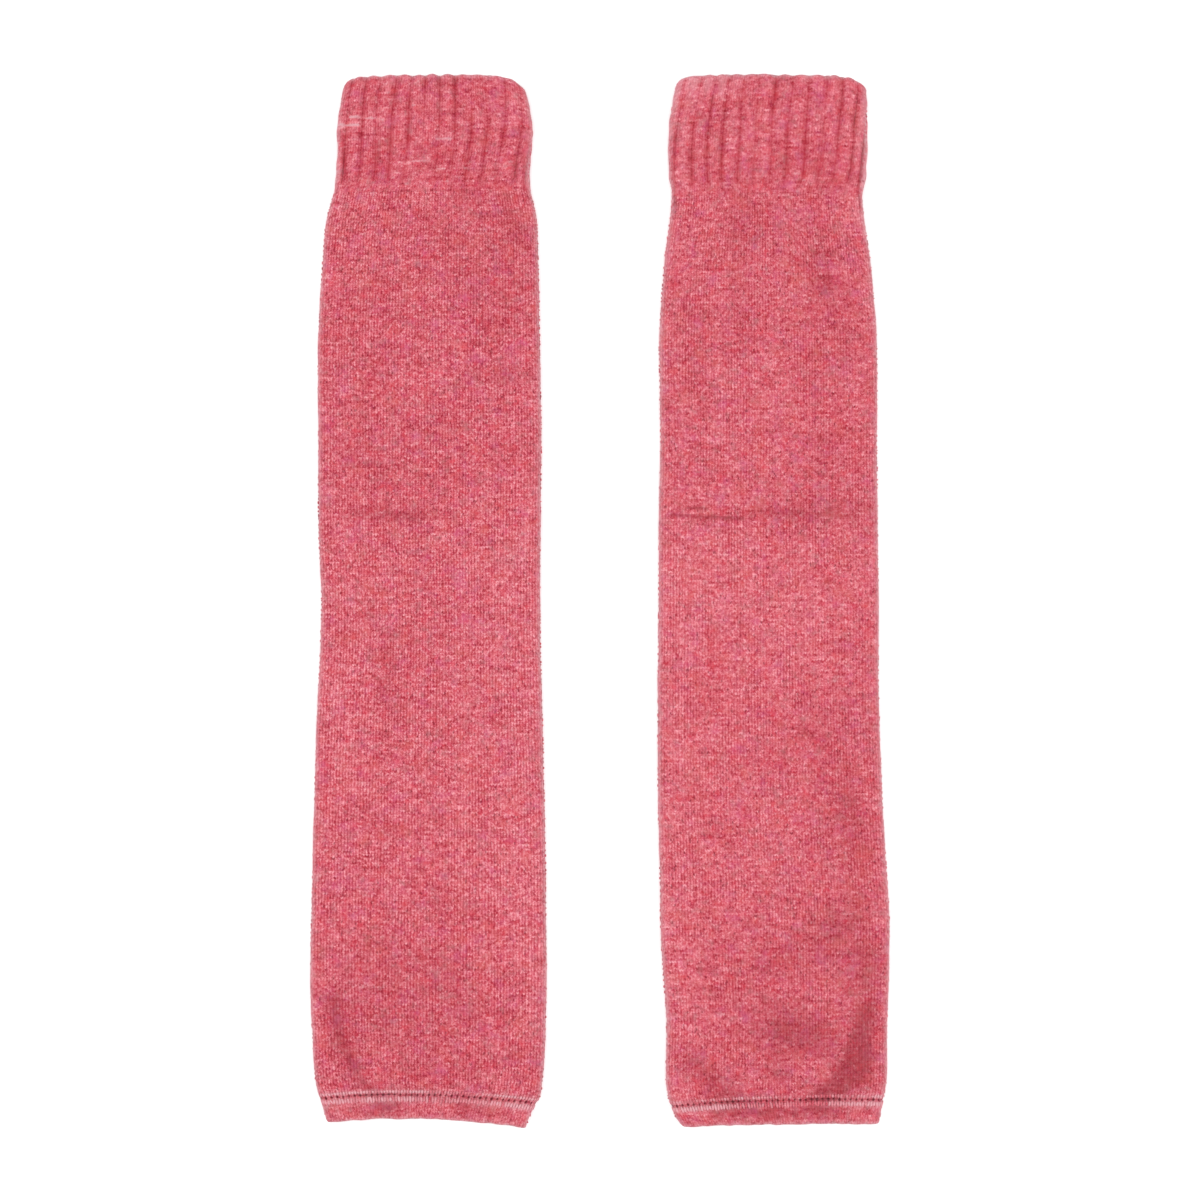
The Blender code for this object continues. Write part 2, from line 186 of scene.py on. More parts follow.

# The main creases of the imported solids, and after them the finer ones. Their darkness is shade
# painted into the colour. A negative depth is a ridge, and a negative darkness a paler place, or where
# it is narrow a pale float of the yarn.
LEFT_CREASES = table_of(
    Crease,
    (((-97, 34), (-78, 33.6), (-60, 34.2)), 2.6, 0.5, 0.35),
    (((-98, 121), (-74, 110)), 6, 0.6, 0.15),
    (((-35, 159), (-34, 147)), 6.5, 0.55, 0.35),
    (((-84.5, -17), (-85, -42)), 6, 0.45, 0.25),
    (((-106, -158), (-103, -176), (-97, -193), (-86, -199)), 6.5, 0.8, 0.18),
    (((-66, -170), (-64, -190)), 11, 0.4, -0.05),
    (((-32, -172), (-30, -192)), 6, 0.75, 0.15),
    (((-106.4, -160), (-103.5, -176), (-97, -190), (-87, -201)), 2.6, 0.25, 0.4),
    (((-88, -160), (-66, -176), (-58, -160)), 22, 0.1, 0.25),
    (((-78, -184), (-58, -193), (-50, -190)), 5, 0.15, 0.05),
    (((-90, -203), (-82, -204)), 5, 0.05, 0.35),
    (((-54, -203.5), (-44, -203)), 5, 0.05, 0.35),
    (((-94, 106.5), (-80, 107.5)), 3, -0.2, -0.3),
    (((-96, 78), (-70, 82)), 4.5, -0.15, -0.2),
    (((-60, 140), (-40, 118)), 14, 0.12, 0.22),
    (((-46, -96), (-32, -106), (-26, -122)), 5, -0.2, 0.08),
    (((-104, -64), (-88, -76)), 5, -0.15, -0.2),
    (((-68, -120), (-40, -132)), 6, 0.12, 0.2),
    (((-100, 20), (-60, 14), (-30, 18)), 7, -0.1, -0.15),
    (((-56, -176.5), (-42, -175), (-30, -172.5)), 2.2, -0.1, -0.35),
    (((-31, 40), (-29, -60), (-28, -164)), 11, -0.05, -0.28),
    (((-103, 6), (-104, -80)), 9, -0.05, -0.25),
    (((-90, 96), (-60, 60)), 22, 0.05, 0.12),
    (((-50, 91), (-33, 90)), 7, 0.05, 0.25),
    (((-49, 25), (-47, -120)), 15, -0.03, -0.22),
    (((-96, -144), (-64, -147)), 8, 0.05, 0.15),
    (((-54, 162), (-50, 158)), 8, 0.05, 0.25),
    (((-101, 203), (-103, 165)), 5, -0.03, -0.38),
    (((-103.6, 188), (-102.5, 176), (-100.4, 165)), 0.9, 0.15, 0.7),
    (((-29.4, 187), (-30.4, 176), (-30.6, 165)), 0.9, 0.15, 0.6),
    (((-31, 138), (-31, 128)), 6, 0.03, 0.15),
    (((-94, 36), (-78, 34)), 7, 0.03, 0.15),
    (((-32.5, 203), (-31, 160)), 5, -0.03, -0.3),
    (((-104, 62), (-84, 50)), 7, 0.04, 0.18),
    (((-88, -77), (-64, -76)), 7, -0.04, -0.18),
    (((-104, -28), (-105, -42)), 6, -0.04, -0.15),
    (((-50, -142), (-46, -150)), 7, -0.04, -0.2),
    (((-88, 176), (-64, 174)), 7, 0.03, 0.18),
    (((-66, 200), (-46, 196)), 9, -0.03, -0.18),
    (((-33, -202), (-30, -205)), 4, -0.03, -0.22),
    (((-104.2, 189.8), (-96.4, 189.7)), 0.5, -0.1, -1.9),
    (((-100, 193), (-86.5, 192)), 0.5, -0.05, -1.3),
    (((-78, 174.6), (-68, 175.9)), 0.5, -0.05, -1.4),
    (((-65.4, 184.4), (-59.5, 184.5)), 0.5, -0.05, -1.5),
    (((-65, 172), (-62, 172.1)), 0.5, -0.05, -1.5),
)
RIGHT_CREASES = table_of(
    Crease,
    (((30, 34.2), (58, 34.8)), 2.6, 0.55, 0.15),
    (((62, 35), (101, 33.6)), 2.6, 0.25, 0.25),
    (((55.5, 157), (55, 130), (56.5, 103)), 6.5, 0.5, 0.22),
    (((88, 136), (90, 125)), 6, 0.4, 0.25),
    (((98, 110), (97, 98)), 6, 0.4, 0.25),
    (((89, 63), (88, 51)), 6, 0.35, 0.25),
    (((100, -80), (101, -98)), 6, 0.4, 0.2),
    (((100, -126), (84, -138), (68, -146)), 7.5, 0.5, 0.2),
    (((72, -172), (86, -175)), 9, 0.45, 0.38),
    (((106.5, -142), (107, -163), (102.5, -186), (90, -198)), 6, 0.9, 0.27),
    (((35, -182), (52, -199)), 6, 0.6, 0.5),
    (((28.8, 34), (44, 33.2), (57, 32.6)), 0.8, 0.3, 0.85),
    (((30, 35.6), (44, 34.8), (56, 34.2)), 0.7, -0.1, -0.5),
    (((35, 36.8), (41.5, 36.6)), 0.7, 0.2, 0.8),
    (((105.5, -166), (101.5, -184), (93, -195), (86, -199.5)), 3.6, 0.2, 0.6),
    (((104, -181), (101, -190), (94, -196)), 5.5, 0.2, 0.55),
    (((46, -203.5), (72, -205), (92, -203.5)), 4.5, 0.1, 0.4),
    (((58, -202.5), (64, -205), (71, -203), (78, -205.5)), 0.9, 0.1, 0.35),
    (((31, 206), (50, 207)), 7.5, -0.05, -0.7),
    (((29, 10), (28, -80), (32, -172)), 9, -0.05, -0.25),
    (((44, 18), (92, 14)), 8, -0.05, -0.2),
    (((62, -160), (80, -178)), 24, 0.1, 0.25),
    (((34, 118), (48, 100)), 11, 0.12, 0.15),
    (((82, 100), (96, 60)), 14, 0.1, 0.06),
    (((30, 84), (62, 72)), 6, -0.15, 0.06),
    (((44, 6), (86, -18)), 16, -0.1, -0.26),
    (((30, -60), (52, -76)), 6, -0.15, -0.2),
    (((64, -104), (92, -116)), 5, -0.15, -0.2),
    (((56, -152), (92, -156)), 3, -0.15, -0.2),
    (((92, -46), (95, -100), (99, -148)), 15, 0.03, 0.24),
    (((72, 150), (88, 118)), 13, 0.03, 0.18),
    (((70, 36), (108, 36)), 9, 0.03, 0.24),
    (((48, -20), (58, -22)), 7, -0.03, -0.2),
    (((29.9, 187), (29.6, 179), (29.3, 170.6), (29.7, 163), (30.1, 157.5)), 0.7, 0.12, 1),
    (((105.4, 185), (105, 179), (103.7, 170), (103, 163.5), (104.2, 157.5)), 0.7, 0.15, 1.2),
    (((84, -187), (90, -191)), 5, -0.05, -0.3),
    (((68, -188), (73, -190)), 4, 0.05, 0.25),
    (((104.5, 203), (105.5, 172), (105, 150)), 5.5, -0.03, -0.55),
    (((31.5, 196), (32, 172)), 5.5, -0.03, -0.5),
    (((51, 197), (52, 184)), 7, -0.03, -0.2),
    (((84, 205), (92, 204)), 6, -0.03, -0.2),
    (((84, 176), (90, 172)), 7, 0.03, 0.2),
    (((106, -186), (108, -192)), 4, 0.03, 0.2),
    (((34, -203), (38, -205)), 4, -0.03, -0.22),
    (((50, 86), (56, 94)), 7, -0.03, -0.15),
)

# The furrows of the upper layer, from right to left. The one numbered 13 is next to the middle.
LEFT_FURROWS = table_of(
    Furrow,
    (7, 1.6, 0.4, 0.3, 0.4, 0.8, 1.2),
    (8, 2, 2, 0.7, 0.8, 1.2, 1.5),
    (9, 1.9, 1, 0.8, 0.8, 1, 0.4),
    (10, 0.1, 0.6, 0.3, 0.5, 1, 0.9),
    (11, 0.2, 0.3, 0.4, 0.5, 1.2, 0.7),
    (12, -0.4, 0.2, 1.5, 1.3, 0.8, 0.5),
    (13, -0.4, -0.1, 1.25, 0.9, 0.6, 0.4),
    (14, -0.6, -0.3, 1.1, 0.5, 0.3, 0.3),
    (15, -0.7, 0, 0.7, 1, 1, 0.6),
    (16, -0.6, -0.3, 0.9, 0.9, 0.95, 0.9),
    (17, -1.2, 0.2, 0.6, 0.5, 0.4, 0.85),
    (18, -0.8, 0.1, 0.9, 1.05, 1.1, 0.8),
    (19, -1, -0.1, 1.2, 0.7, 1.3, 1.7),
    (20, -0.8, 0, 0.8, 0.7, 0.8, 1.2),
)
RIGHT_FURROWS = table_of(
    Furrow,
    (7, 0.5, -0.6, 0.5, 0.9, 1.4, 2),
    (8, 1.6, 1.2, 0.7, 2, 0.9, 1.1),
    (9, 1.8, 1.3, 1.15, 1.1, 0.95, 0.5),
    (10, 1.6, 1.1, 1, 0.3, 0.5, 0.4),
    (11, 0.8, 0.9, 0.9, 0.8, 1, 0.9),
    (12, 0, 0.2, 0.7, 0.5, 0.95, 0.9),
    (13, -0.5, 0, 1.2, 1.1, 0.4, 0.7),
    (14, -1.4, -0.5, 0.3, 0.35, 0.5, 0.6),
    (15, -1.4, -0.3, 0.6, 0.7, 1.15, 1),
    (16, -1.1, -0.5, 0.75, 1.2, 1.2, 1.1),
    (17, -0.6, -0.2, 1.1, 1.1, 0.9, 0.9),
    (18, -0.2, -0.3, 0.6, 0.65, 1.1, 1.25),
    (19, -0.7, -1, 0.4, 1, 0.8, 0.5),
    (20, -0.8, -0.6, 0.6, 0.7, 0.9, 0.9),
)
MOUTH_ROW, UPPER_ROW, MIDDLE_ROW, LOW_ROW = 206.0, 196.0, 186.0, 175.0  # heights of the strengths

# The hem's stitches: a column of the thread's table, the distance from the seam, sizes and a slant
StitchRow = namedtuple("StitchRow", "column distance width length thickness tilt")
STITCH_ROWS = (
    StitchRow("lower", -1.65, 1.0, 2.5, 0.26, 9.0),
    StitchRow("upper", 1.35, 1.0, 1.5, 0.20, 12.0),
)
# How much of each row's pale thread shows, by the place across the leg
Thread = namedtuple("Thread", "x lower upper")
LEFT_THREAD = table_of(
    Thread,
    (-112, 1, 0.7), (-105, 1, 0.9), (-98, 0.5, 0.9), (-90, 0.85, 0.8), (-82, 0.8, 0.8),
    (-72, 0.55, 0.8), (-64, 0.4, 0.4), (-55, 0.5, 0.2), (-46, 0.6, 0.5), (-38, 0.9, 0.9),
    (-27, 1, 0.8),
)
RIGHT_THREAD = table_of(
    Thread,
    (27, 1, 0.6), (40, 0.95, 0.2), (48, 0.8, 0.3), (54, 0.45, 0.4), (62, 0.2, 0.35),
    (70, 0.1, 0.3), (86, 0.1, 0.2), (94, 0.6, 0.2), (102, 0.9, 0.5), (113, 1, 0.9),
)
HIDDEN_THREAD = 0.5  # of the rows on the underside

LEFT_LEG = Leg(
    side="left",
    edges=LEFT_EDGES,
    leans=LEFT_LEANS,
    hem_seam=-197.9,
    cuff_seam=163.5,
    mouth=210.1,
    left_corner=Corner(4.5, 20),
    right_corner=Corner(6.5, 9),
    creases=LEFT_CREASES,
    furrows=LEFT_FURROWS,
    thread=LEFT_THREAD,
    course_start=0,
)
RIGHT_LEG = Leg(
    side="right",
    edges=RIGHT_EDGES,
    leans=RIGHT_LEANS,
    hem_seam=-200.0,
    cuff_seam=162.5,
    mouth=210.3,
    left_corner=Corner(4.0, 18),
    right_corner=Corner(4.8, 14),
    creases=RIGHT_CREASES,
    furrows=RIGHT_FURROWS,
    thread=RIGHT_THREAD,
    course_start=RIGHT_LEG_COURSE_START,
)

# How far apart the rows of points lie, by distance from the start of each piece
HEM_ROW_STEPS = table_of(RowStep, (0, 0.5), (7, 0.5), (HEM_DEPTH, 0.2))
LEG_ROW_STEPS = table_of(
    RowStep,
    (0, 0.2), (2, 0.5), (8, 1.4), (16, 2.5), (216, 2.5), (226, 0.9), (238, 0.9), (248, 2.5),
    (340, 2.5), (362, 1.6),
)
CUFF_ROW_STEPS = (RowStep(0, 0.8), RowStep(43, 0.8), RowStep(47, 0.4))
GUARD_ROW = 0.03  # the first row inside a flat rim, so that the rim's normals reach no further
INNER_ROWS_APART = 9.0
RIM_TURNS = (30, 60, 90, 120, 150)  # in degrees, from the outer face round to the inner one


# --- Curves and noise ---

def table_values(table, column, at):
    """The named column of a table at each place, on a smooth curve through its rows."""
    places = np.array([row[0] for row in table])
    values = np.array([getattr(row, column) for row in table])
    rows = np.arange(len(table))
    before, after = np.maximum(rows - 1, 0), np.minimum(rows + 1, len(table) - 1)
    slopes = (values[after] - values[before]) / (places[after] - places[before])
    at = np.clip(at, places[0], places[-1])
    low = np.clip(np.searchsorted(places, at, side="right") - 1, 0, len(table) - 2)
    span = places[low + 1] - places[low]
    t = (at - places[low]) / span
    from_values = values[low] * (1 + 2 * t) * (1 - t) ** 2 + values[low + 1] * (3 - 2 * t) * t**2
    from_slopes = slopes[low] * t * (1 - t) ** 2 - slopes[low + 1] * t**2 * (1 - t)
    return from_values + span * from_slopes


def eased(value):
    """0 up to 0, 1 from 1 on, and a smooth step between them."""
    t = np.clip(value, 0.0, 1.0)
    return t * t * (3 - 2 * t)


def spline_weights(t):
    return (
        (1 - t) ** 3 / 6,
        (3 * t**3 - 6 * t**2 + 4) / 6,
        (-3 * t**3 + 3 * t**2 + 3 * t + 1) / 6,
        t**3 / 6,
    )


def unevenness(leg, kind, wale, y):
    """Smooth noise with a spread of about the kind's height, which closes on itself round the tube."""
    unit_spread = 3.6
    reach = 230.0  # up and down from the middle, past both ends
    around = WALES // kind.wales
    along = int(2 * reach / kind.length) + 4
    lattice = np.random.default_rng(kind.seed + leg.course_start).uniform(-1, 1, (around, along))
    across = wale * around / WALES
    up = np.clip(y + reach, 0, 2 * reach) / kind.length
    column, row = np.floor(across).astype(int), np.floor(up).astype(int)
    total = 0.0
    for i, across_weight in enumerate(spline_weights(across - column)):
        for j, up_weight in enumerate(spline_weights(up - row)):
            cell = lattice[(column + i) % around, np.minimum(row + j, along - 1)]
            total = total + across_weight * up_weight * cell
    return total * unit_spread * kind.height


# --- The form of a leg warmer ---

def distance_to_path(x, y, path):
    nearest = np.full(np.broadcast(x, y).shape, np.inf)
    for (x0, y0), (x1, y1) in zip(path, path[1:]):
        run_x, run_y = x1 - x0, y1 - y0
        t = np.clip(((x - x0) * run_x + (y - y0) * run_y) / (run_x**2 + run_y**2), 0, 1)
        nearest = np.minimum(nearest, np.hypot(x - x0 - t * run_x, y - y0 - t * run_y))
    return nearest


def creased(leg, column, x, y):
    """The sum of the creases' depths or darknesses at each point."""
    total = np.zeros(np.broadcast(x, y).shape)
    for crease in leg.creases:
        nearness = np.exp(-((distance_to_path(x, y, crease.path) / crease.width) ** 2))
        total += getattr(crease, column) * nearness
    return total


def loop_length(half_width, height):
    return 4 * half_width + (math.pi - 2) * height


def loop_points(half_width, height, along):
    """Points along the flattened tube's outline, and their outward normals: (x, z, nx, nz).

    The outline starts at the middle of the underside and runs to +X, round the right fold,
    back over the top and round the left fold. The folds are half circles.
    """
    radius = height / 2
    flat = half_width - radius
    fold = math.pi * radius
    along = np.mod(along, loop_length(half_width, height))
    right_turn = np.clip((along - flat) / radius, 0, math.pi)
    left_turn = np.clip((along - 3 * flat - fold) / radius, 0, math.pi)
    nx, nz = np.sin(right_turn + left_turn), -np.cos(right_turn + left_turn)
    to_right = np.minimum(along, flat)
    to_left = np.clip(along - flat - fold, 0, 2 * flat)
    back = np.clip(along - 3 * flat - 2 * fold, 0, None)
    return to_right - to_left + back + radius * nx, radius + radius * nz, nx, nz


def corner_drop(leg, y, across):
    drop = np.where(across < 0, leg.left_corner.drop, leg.right_corner.drop)
    power = np.where(across < 0, leg.left_corner.power, leg.right_corner.power)
    return drop * np.exp((y - leg.mouth) / MOUTH_CORNER_REACH) * np.abs(across) ** power


def ring_height(leg, y, across):
    """Where a ring whose middle is at y passes; across is -1 at its left end and 1 at its right."""
    rise = table_values(leg.leans, "rise", y)
    bow = table_values(leg.leans, "bow", y)
    return y + rise / 2 * across - bow * across**2 - corner_drop(leg, y, across)


def furrow_places(leg, y, places, pitch):
    """How far each place of the cuff stands from an even spacing, in ribs."""
    fading = 4  # ribs, past the first and the last furrow of the table
    numbers = [furrow.number for furrow in leg.furrows]
    numbers = (numbers[0] - fading, *numbers, numbers[-1] + fading)
    at_mouth = np.interp(places, numbers, (0, *(furrow.mouth_offset for furrow in leg.furrows), 0))
    low = np.interp(places, numbers, (0, *(furrow.low_offset for furrow in leg.furrows), 0))
    up_the_cuff = eased((y - LOW_ROW) / (MOUTH_ROW - LOW_ROW))
    offset = low + (at_mouth - low) * up_the_cuff
    waver = unevenness(leg, RIB_WAVER, places * WALES_PER_RIB, y)
    return (waver - offset / pitch) * eased((y - leg.cuff_seam) / RIB_FADE)


def furrow_strengths(leg, y):
    """How deep each of the tube's furrows is at each height, as rows by furrows."""
    strengths = np.full((len(y), RIBS), HIDDEN_FURROW)
    rows = (LOW_ROW, MIDDLE_ROW, UPPER_ROW, MOUTH_ROW)
    for furrow in leg.furrows:
        values = (furrow.low, furrow.middle, furrow.upper, furrow.mouth)
        strengths[:, furrow.number] = np.interp(y, rows, values)
    return strengths


def form_of(leg, piece, distances, places):
    """The plain tube under a piece, with its swelling and creases but before any relief.

    A row of points lies at each distance from the piece's datum seam, and a point of it at
    each place round the tube, in ribs.
    """
    y = (getattr(leg, piece.datum) + distances)[:, None]
    height = table_values(piece.heights, "height", distances)[:, None]
    left = table_values(leg.edges, "left", ring_height(leg, y, -1.0))
    right = table_values(leg.edges, "right", ring_height(leg, y, 1.0))
    middle, half_width = (left + right) / 2, (right - left) / 2
    pitch = loop_length(half_width, height) / RIBS
    shift = RIB_SHIFT_AT_MOUTH - RIB_LEAN_PER_MM * (leg.mouth - np.maximum(y, leg.cuff_seam))
    stations = places[None, :] + furrow_places(leg, y, places[None, :], pitch) - shift
    x, z, nx, nz = loop_points(half_width, height, stations * pitch)
    here = ring_height(leg, y, x / half_width)
    air = height - 2 * piece.wall
    inset = half_width - np.abs(x)
    swell = FOLD_SWELL * np.exp(-(((inset - FOLD_SWELL_INSET) / FOLD_SWELL_WIDTH) ** 2))
    wale = places[None, :] * WALES_PER_RIB
    if piece.ribbed:
        here = here + mouth_scallop(leg, distances, places)
    here = here + end_unevenness(leg, piece, distances, wale)
    lift = swell - creased(leg, "depth", middle + x, here) + unevenness(leg, WAVES, wale, y)
    up = eased((z / height - RIB_LOWEST) / (RIB_FULL - RIB_LOWEST))
    return Form(
        x=middle + x,
        y=here + LENGTHWISE_SHIFT,
        z=z,
        nx=nx,
        nz=nz,
        up=up,
        lift=np.maximum(lift, LEAST_AIR - air),
        air=air,
        wall=piece.wall,
        inset=inset,
    )


def moved_out(form, out):
    """The form's points moved out along its normals, as rows by columns by (x, y, z)."""
    layer = eased((form.z + form.nz * np.minimum(out, 0) - form.wall) / form.air)
    z = form.z + form.nz * out + form.lift * layer
    return np.stack([form.x + form.nx * out, np.broadcast_to(form.y, z.shape), z], axis=-1)


def rib_relief(leg, distances, places):
    y = leg.cuff_seam + distances
    furrow = np.round(places).astype(int)
    away = np.abs(places - furrow)
    groove = (1 - RIB_SHOULDER) * np.exp(-((away / RIB_FURROW_WIDTH) ** 2))
    groove = groove + RIB_SHOULDER * (1 - 2 * away) ** RIB_SHOULDER_POWER
    strength = furrow_strengths(leg, y)[:, furrow % RIBS]
    depth = np.minimum(2 * RIB_RAISE * strength * groove, CUFF_WALL + RIB_RAISE - RIB_LEAST_WALL)
    return (RIB_RAISE - depth) * eased(distances / RIB_FADE)[:, None]


def mouth_scallop(leg, distances, places):
    """How far up the mouth each place stands: the ribs' ends out, the furrows between them in."""
    beat = 0.5 - 0.5 * np.cos(2 * math.pi * places)
    strength = furrow_strengths(leg, np.array([leg.mouth]))[:, np.round(places).astype(int) % RIBS]
    near = eased(1 + (leg.cuff_seam + distances - leg.mouth) / SCALLOP_REACH)[:, None]
    return SCALLOP * np.minimum(strength, MOST_SCALLOP) * (beat - 1) * near


def end_unevenness(leg, piece, distances, wale):
    """How far the loops at a rounded end stand past it, up or down the leg."""
    from_end = np.inf
    if piece.round_start:
        from_end = distances - piece.start
    if piece.round_end:
        from_end = piece.end - distances
    near = eased(1 - from_end / END_REACH)
    if not np.any(near):
        return 0.0
    return np.outer(near, unevenness(leg, END_LOOPS, wale, 0.0))


def seam_relief(distances, wale):
    """The groove along the hem seam, with a pit at every other wale."""
    distances = distances[:, None]
    groove = SEAM_GROOVE * np.exp(-((distances / SEAM_GROOVE_WIDTH) ** 2))
    beat = (0.5 + 0.5 * np.cos(2 * math.pi * wale / WALES_PER_PIT)) ** 2
    return -groove - SEAM_PIT * beat * np.exp(-((distances / SEAM_PIT_WIDTH) ** 2))


def relief_of(leg, piece, distances, places, form):
    """How far the outer face stands out from the form: ribs, wales, seam and small dimples."""
    wale, y = places * WALES_PER_RIB, form.y
    in_groove = np.isclose(wale % 1, 0)
    relief = np.where(in_groove, -WALE_GROOVE, WALE_CROWN) * np.ones_like(y)
    relief += unevenness(leg, DIMPLES, wale, y)
    relief += unevenness(leg, SLACK, wale, y)
    if piece.ribbed:
        relief += unevenness(leg, KNOTS, wale, y)
        relief += rib_relief(leg, distances, places)
    else:
        relief += seam_relief(distances, wale)
    # The underside rests, so its relief is pressed flat: nothing there stands out of the form.
    pressed = np.minimum(relief - relief.max(axis=1, keepdims=True) * PRESSED_SHARE, 0.0)
    return pressed + (relief - pressed) * form.up


# --- Meshes ---

def rows_of(piece):
    """The distances of a piece's rows from its datum seam, closer together where it bends more."""
    length = piece.end - piece.start
    places = [step.distance for step in piece.row_steps]
    steps = [step.step for step in piece.row_steps]
    rows = [0.0]
    while rows[-1] < length:
        rows.append(rows[-1] + np.interp(rows[-1], places, steps))
    return piece.start + np.array(rows) * (length / rows[-1])


def outer_rows(piece):
    """The rows of the outer face and its rounded rims: their distances and how far in they lie."""
    radius = piece.wall / 2
    distances = rows_of(piece)
    turns = np.radians(RIM_TURNS)
    rim, rim_insets = radius * (1 - np.sin(turns)), radius * (1 - np.cos(turns))
    if piece.round_start:
        distances = distances[distances > piece.start + radius]
        distances = np.concatenate([[piece.start + radius], distances])
    if piece.round_end:
        distances = distances[distances < piece.end - radius]
        distances = np.concatenate([distances, [piece.end - radius]])
    if not piece.round_start:
        distances = np.insert(distances, 1, distances[0] + GUARD_ROW)
    if not piece.round_end:
        distances = np.insert(distances, -1, distances[-1] - GUARD_ROW)
    insets = np.zeros_like(distances)
    if piece.round_start:
        distances = np.concatenate([(piece.start + rim)[::-1], distances])
        insets = np.concatenate([rim_insets[::-1], insets])
    if piece.round_end:
        distances = np.concatenate([distances, piece.end - rim])
        insets = np.concatenate([insets, rim_insets])
    return distances, insets


def inner_rows(piece):
    radius = piece.wall / 2
    start = piece.start + (radius if piece.round_start else 0)
    end = piece.end - (radius if piece.round_end else 0)
    return np.linspace(start, end, max(int((end - start) / INNER_ROWS_APART), 2) + 1)


def grid_faces(first, rows, columns, inside_out):
    """Four-sided faces over a grid of points that closes round, and each corner's (row, column)."""
    row, column = np.meshgrid(np.arange(rows - 1), np.arange(columns), indexing="ij")
    row, column = row.ravel(), column.ravel()
    corners = [(row, column), (row + 1, column), (row + 1, column + 1), (row, column + 1)]
    if inside_out:
        corners.reverse()
    places = np.array(corners).transpose(2, 0, 1)
    return first + places[..., 0] * columns + places[..., 1] % columns, places


def rim_faces(outer_first, inner_first, columns, flipped):
    """Triangles that join an outer ring to an inner one with a point to each wale."""
    faces = []
    half = POINTS_PER_WALE // 2 + 1
    for wale in range(WALES):
        first = wale * POINTS_PER_WALE
        outer = [outer_first + (first + i) % columns for i in range(POINTS_PER_WALE + 1)]
        inner, next_inner = inner_first + wale, inner_first + (wale + 1) % WALES
        faces += [(inner, outer[i + 1], outer[i]) for i in range(half)]
        faces.append((inner, next_inner, outer[half]))
        faces += [(next_inner, outer[i + 1], outer[i]) for i in range(half, POINTS_PER_WALE)]
    return [face[::-1] for face in faces] if flipped else faces


def mesh_object(name, points, faces, corner_uvs, material):
    data = bpy.data.meshes.new(name)
    data.from_pydata((points * MM).tolist(), [], faces)
    layer = data.uv_layers.new(name="knit")
    layer.data.foreach_set("uv", corner_uvs.ravel())
    data.shade_smooth()
    data.materials.append(material)
    obj = bpy.data.objects.new(name, data)
    bpy.context.scene.collection.objects.link(obj)
    return obj


def add_point_values(obj, name, values):
    layer = obj.data.attributes.new(name, "FLOAT", "POINT")
    layer.data.foreach_set("value", values)


def outer_courses(piece, distances, insets):
    """How far up the tube the yarn of each outer row lies, measured over a rounded rim."""
    steps = np.diff(distances, prepend=distances[0]), np.diff(insets, prepend=insets[0])
    turned = np.cumsum(np.hypot(*steps))
    return turned + (distances[-1] - turned[-1] if piece.round_start else distances[0])


def knitted_wall(leg, piece, material):
    """A piece's wall of cloth: a fine outer face, a plainer inner one and a rim at each end."""
    columns = WALES * POINTS_PER_WALE
    places = np.arange(columns) / (WALES_PER_RIB * POINTS_PER_WALE)
    distances, insets = outer_rows(piece)
    form = form_of(leg, piece, distances, places)
    fading = (1 - insets / piece.wall)[:, None]
    out = relief_of(leg, piece, distances, places, form) * fading - insets[:, None]
    outer = moved_out(form, out)

    inner_distances = inner_rows(piece)
    inner_form = form_of(leg, piece, inner_distances, np.arange(WALES) / WALES_PER_RIB)
    inner = moved_out(inner_form, np.full(inner_form.z.shape, -piece.wall))

    count = outer.shape[0] * columns
    outer_faces, outer_places = grid_faces(0, len(distances), columns, inside_out=False)
    inner_faces, inner_places = grid_faces(count, len(inner_distances), WALES, inside_out=True)
    last_inner = count + (len(inner_distances) - 1) * WALES
    rims = rim_faces(0, count, columns, flipped=True)
    rims += rim_faces(count - columns, last_inner, columns, flipped=False)

    from_hem_seam = getattr(leg, piece.datum) - leg.hem_seam
    courses = outer_courses(piece, distances, insets)
    courses = (courses + from_hem_seam) / COURSE + leg.course_start
    inner_courses = (inner_distances + from_hem_seam) / COURSE + leg.course_start
    outer_uvs = np.stack([outer_places[..., 1] / POINTS_PER_WALE, courses[outer_places[..., 0]]], -1)
    inner_uvs = np.stack([inner_places[..., 1], inner_courses[inner_places[..., 0]]], -1)
    rim_uvs = []
    for rim_courses in (courses[0], courses[-1]):
        for wale in range(WALES):
            rim_uvs += [(wale + 0.5, rim_courses)] * (3 * (POINTS_PER_WALE + 1))

    obj = mesh_object(
        f"{leg.side}_{piece.name}_knit",
        np.concatenate([outer.reshape(-1, 3), inner.reshape(-1, 3)]),
        outer_faces.tolist() + inner_faces.tolist() + rims,
        np.concatenate([outer_uvs.reshape(-1, 2), inner_uvs.reshape(-1, 2), np.array(rim_uvs)]),
        material,
    )
    flat = np.zeros(len(obj.data.polygons), bool)
    end_rim = len(flat) - len(rims) // 2
    flat[len(flat) - len(rims):end_rim] = not piece.round_start
    flat[end_rim:] = not piece.round_end
    obj.data.polygons.foreach_set("use_smooth", ~flat)
    inner_count = inner.size // 3
    # Shade painted into the colour of creases and furrows, full on the inner face; below 0, paler
    # places
    shade = hollow_shade(leg, piece, distances, places, form)
    add_point_values(obj, "shade", np.append(shade, np.ones(inner_count)))
    # Pale fuzz of loose fibres with painted sheen along folds and ends, and the hem's pale thread
    rubbed = fuzz_sheen_and_thread_share(leg, piece, distances, form)
    add_point_values(obj, "rubbed", np.append(rubbed, np.zeros(inner_count)))
    return obj


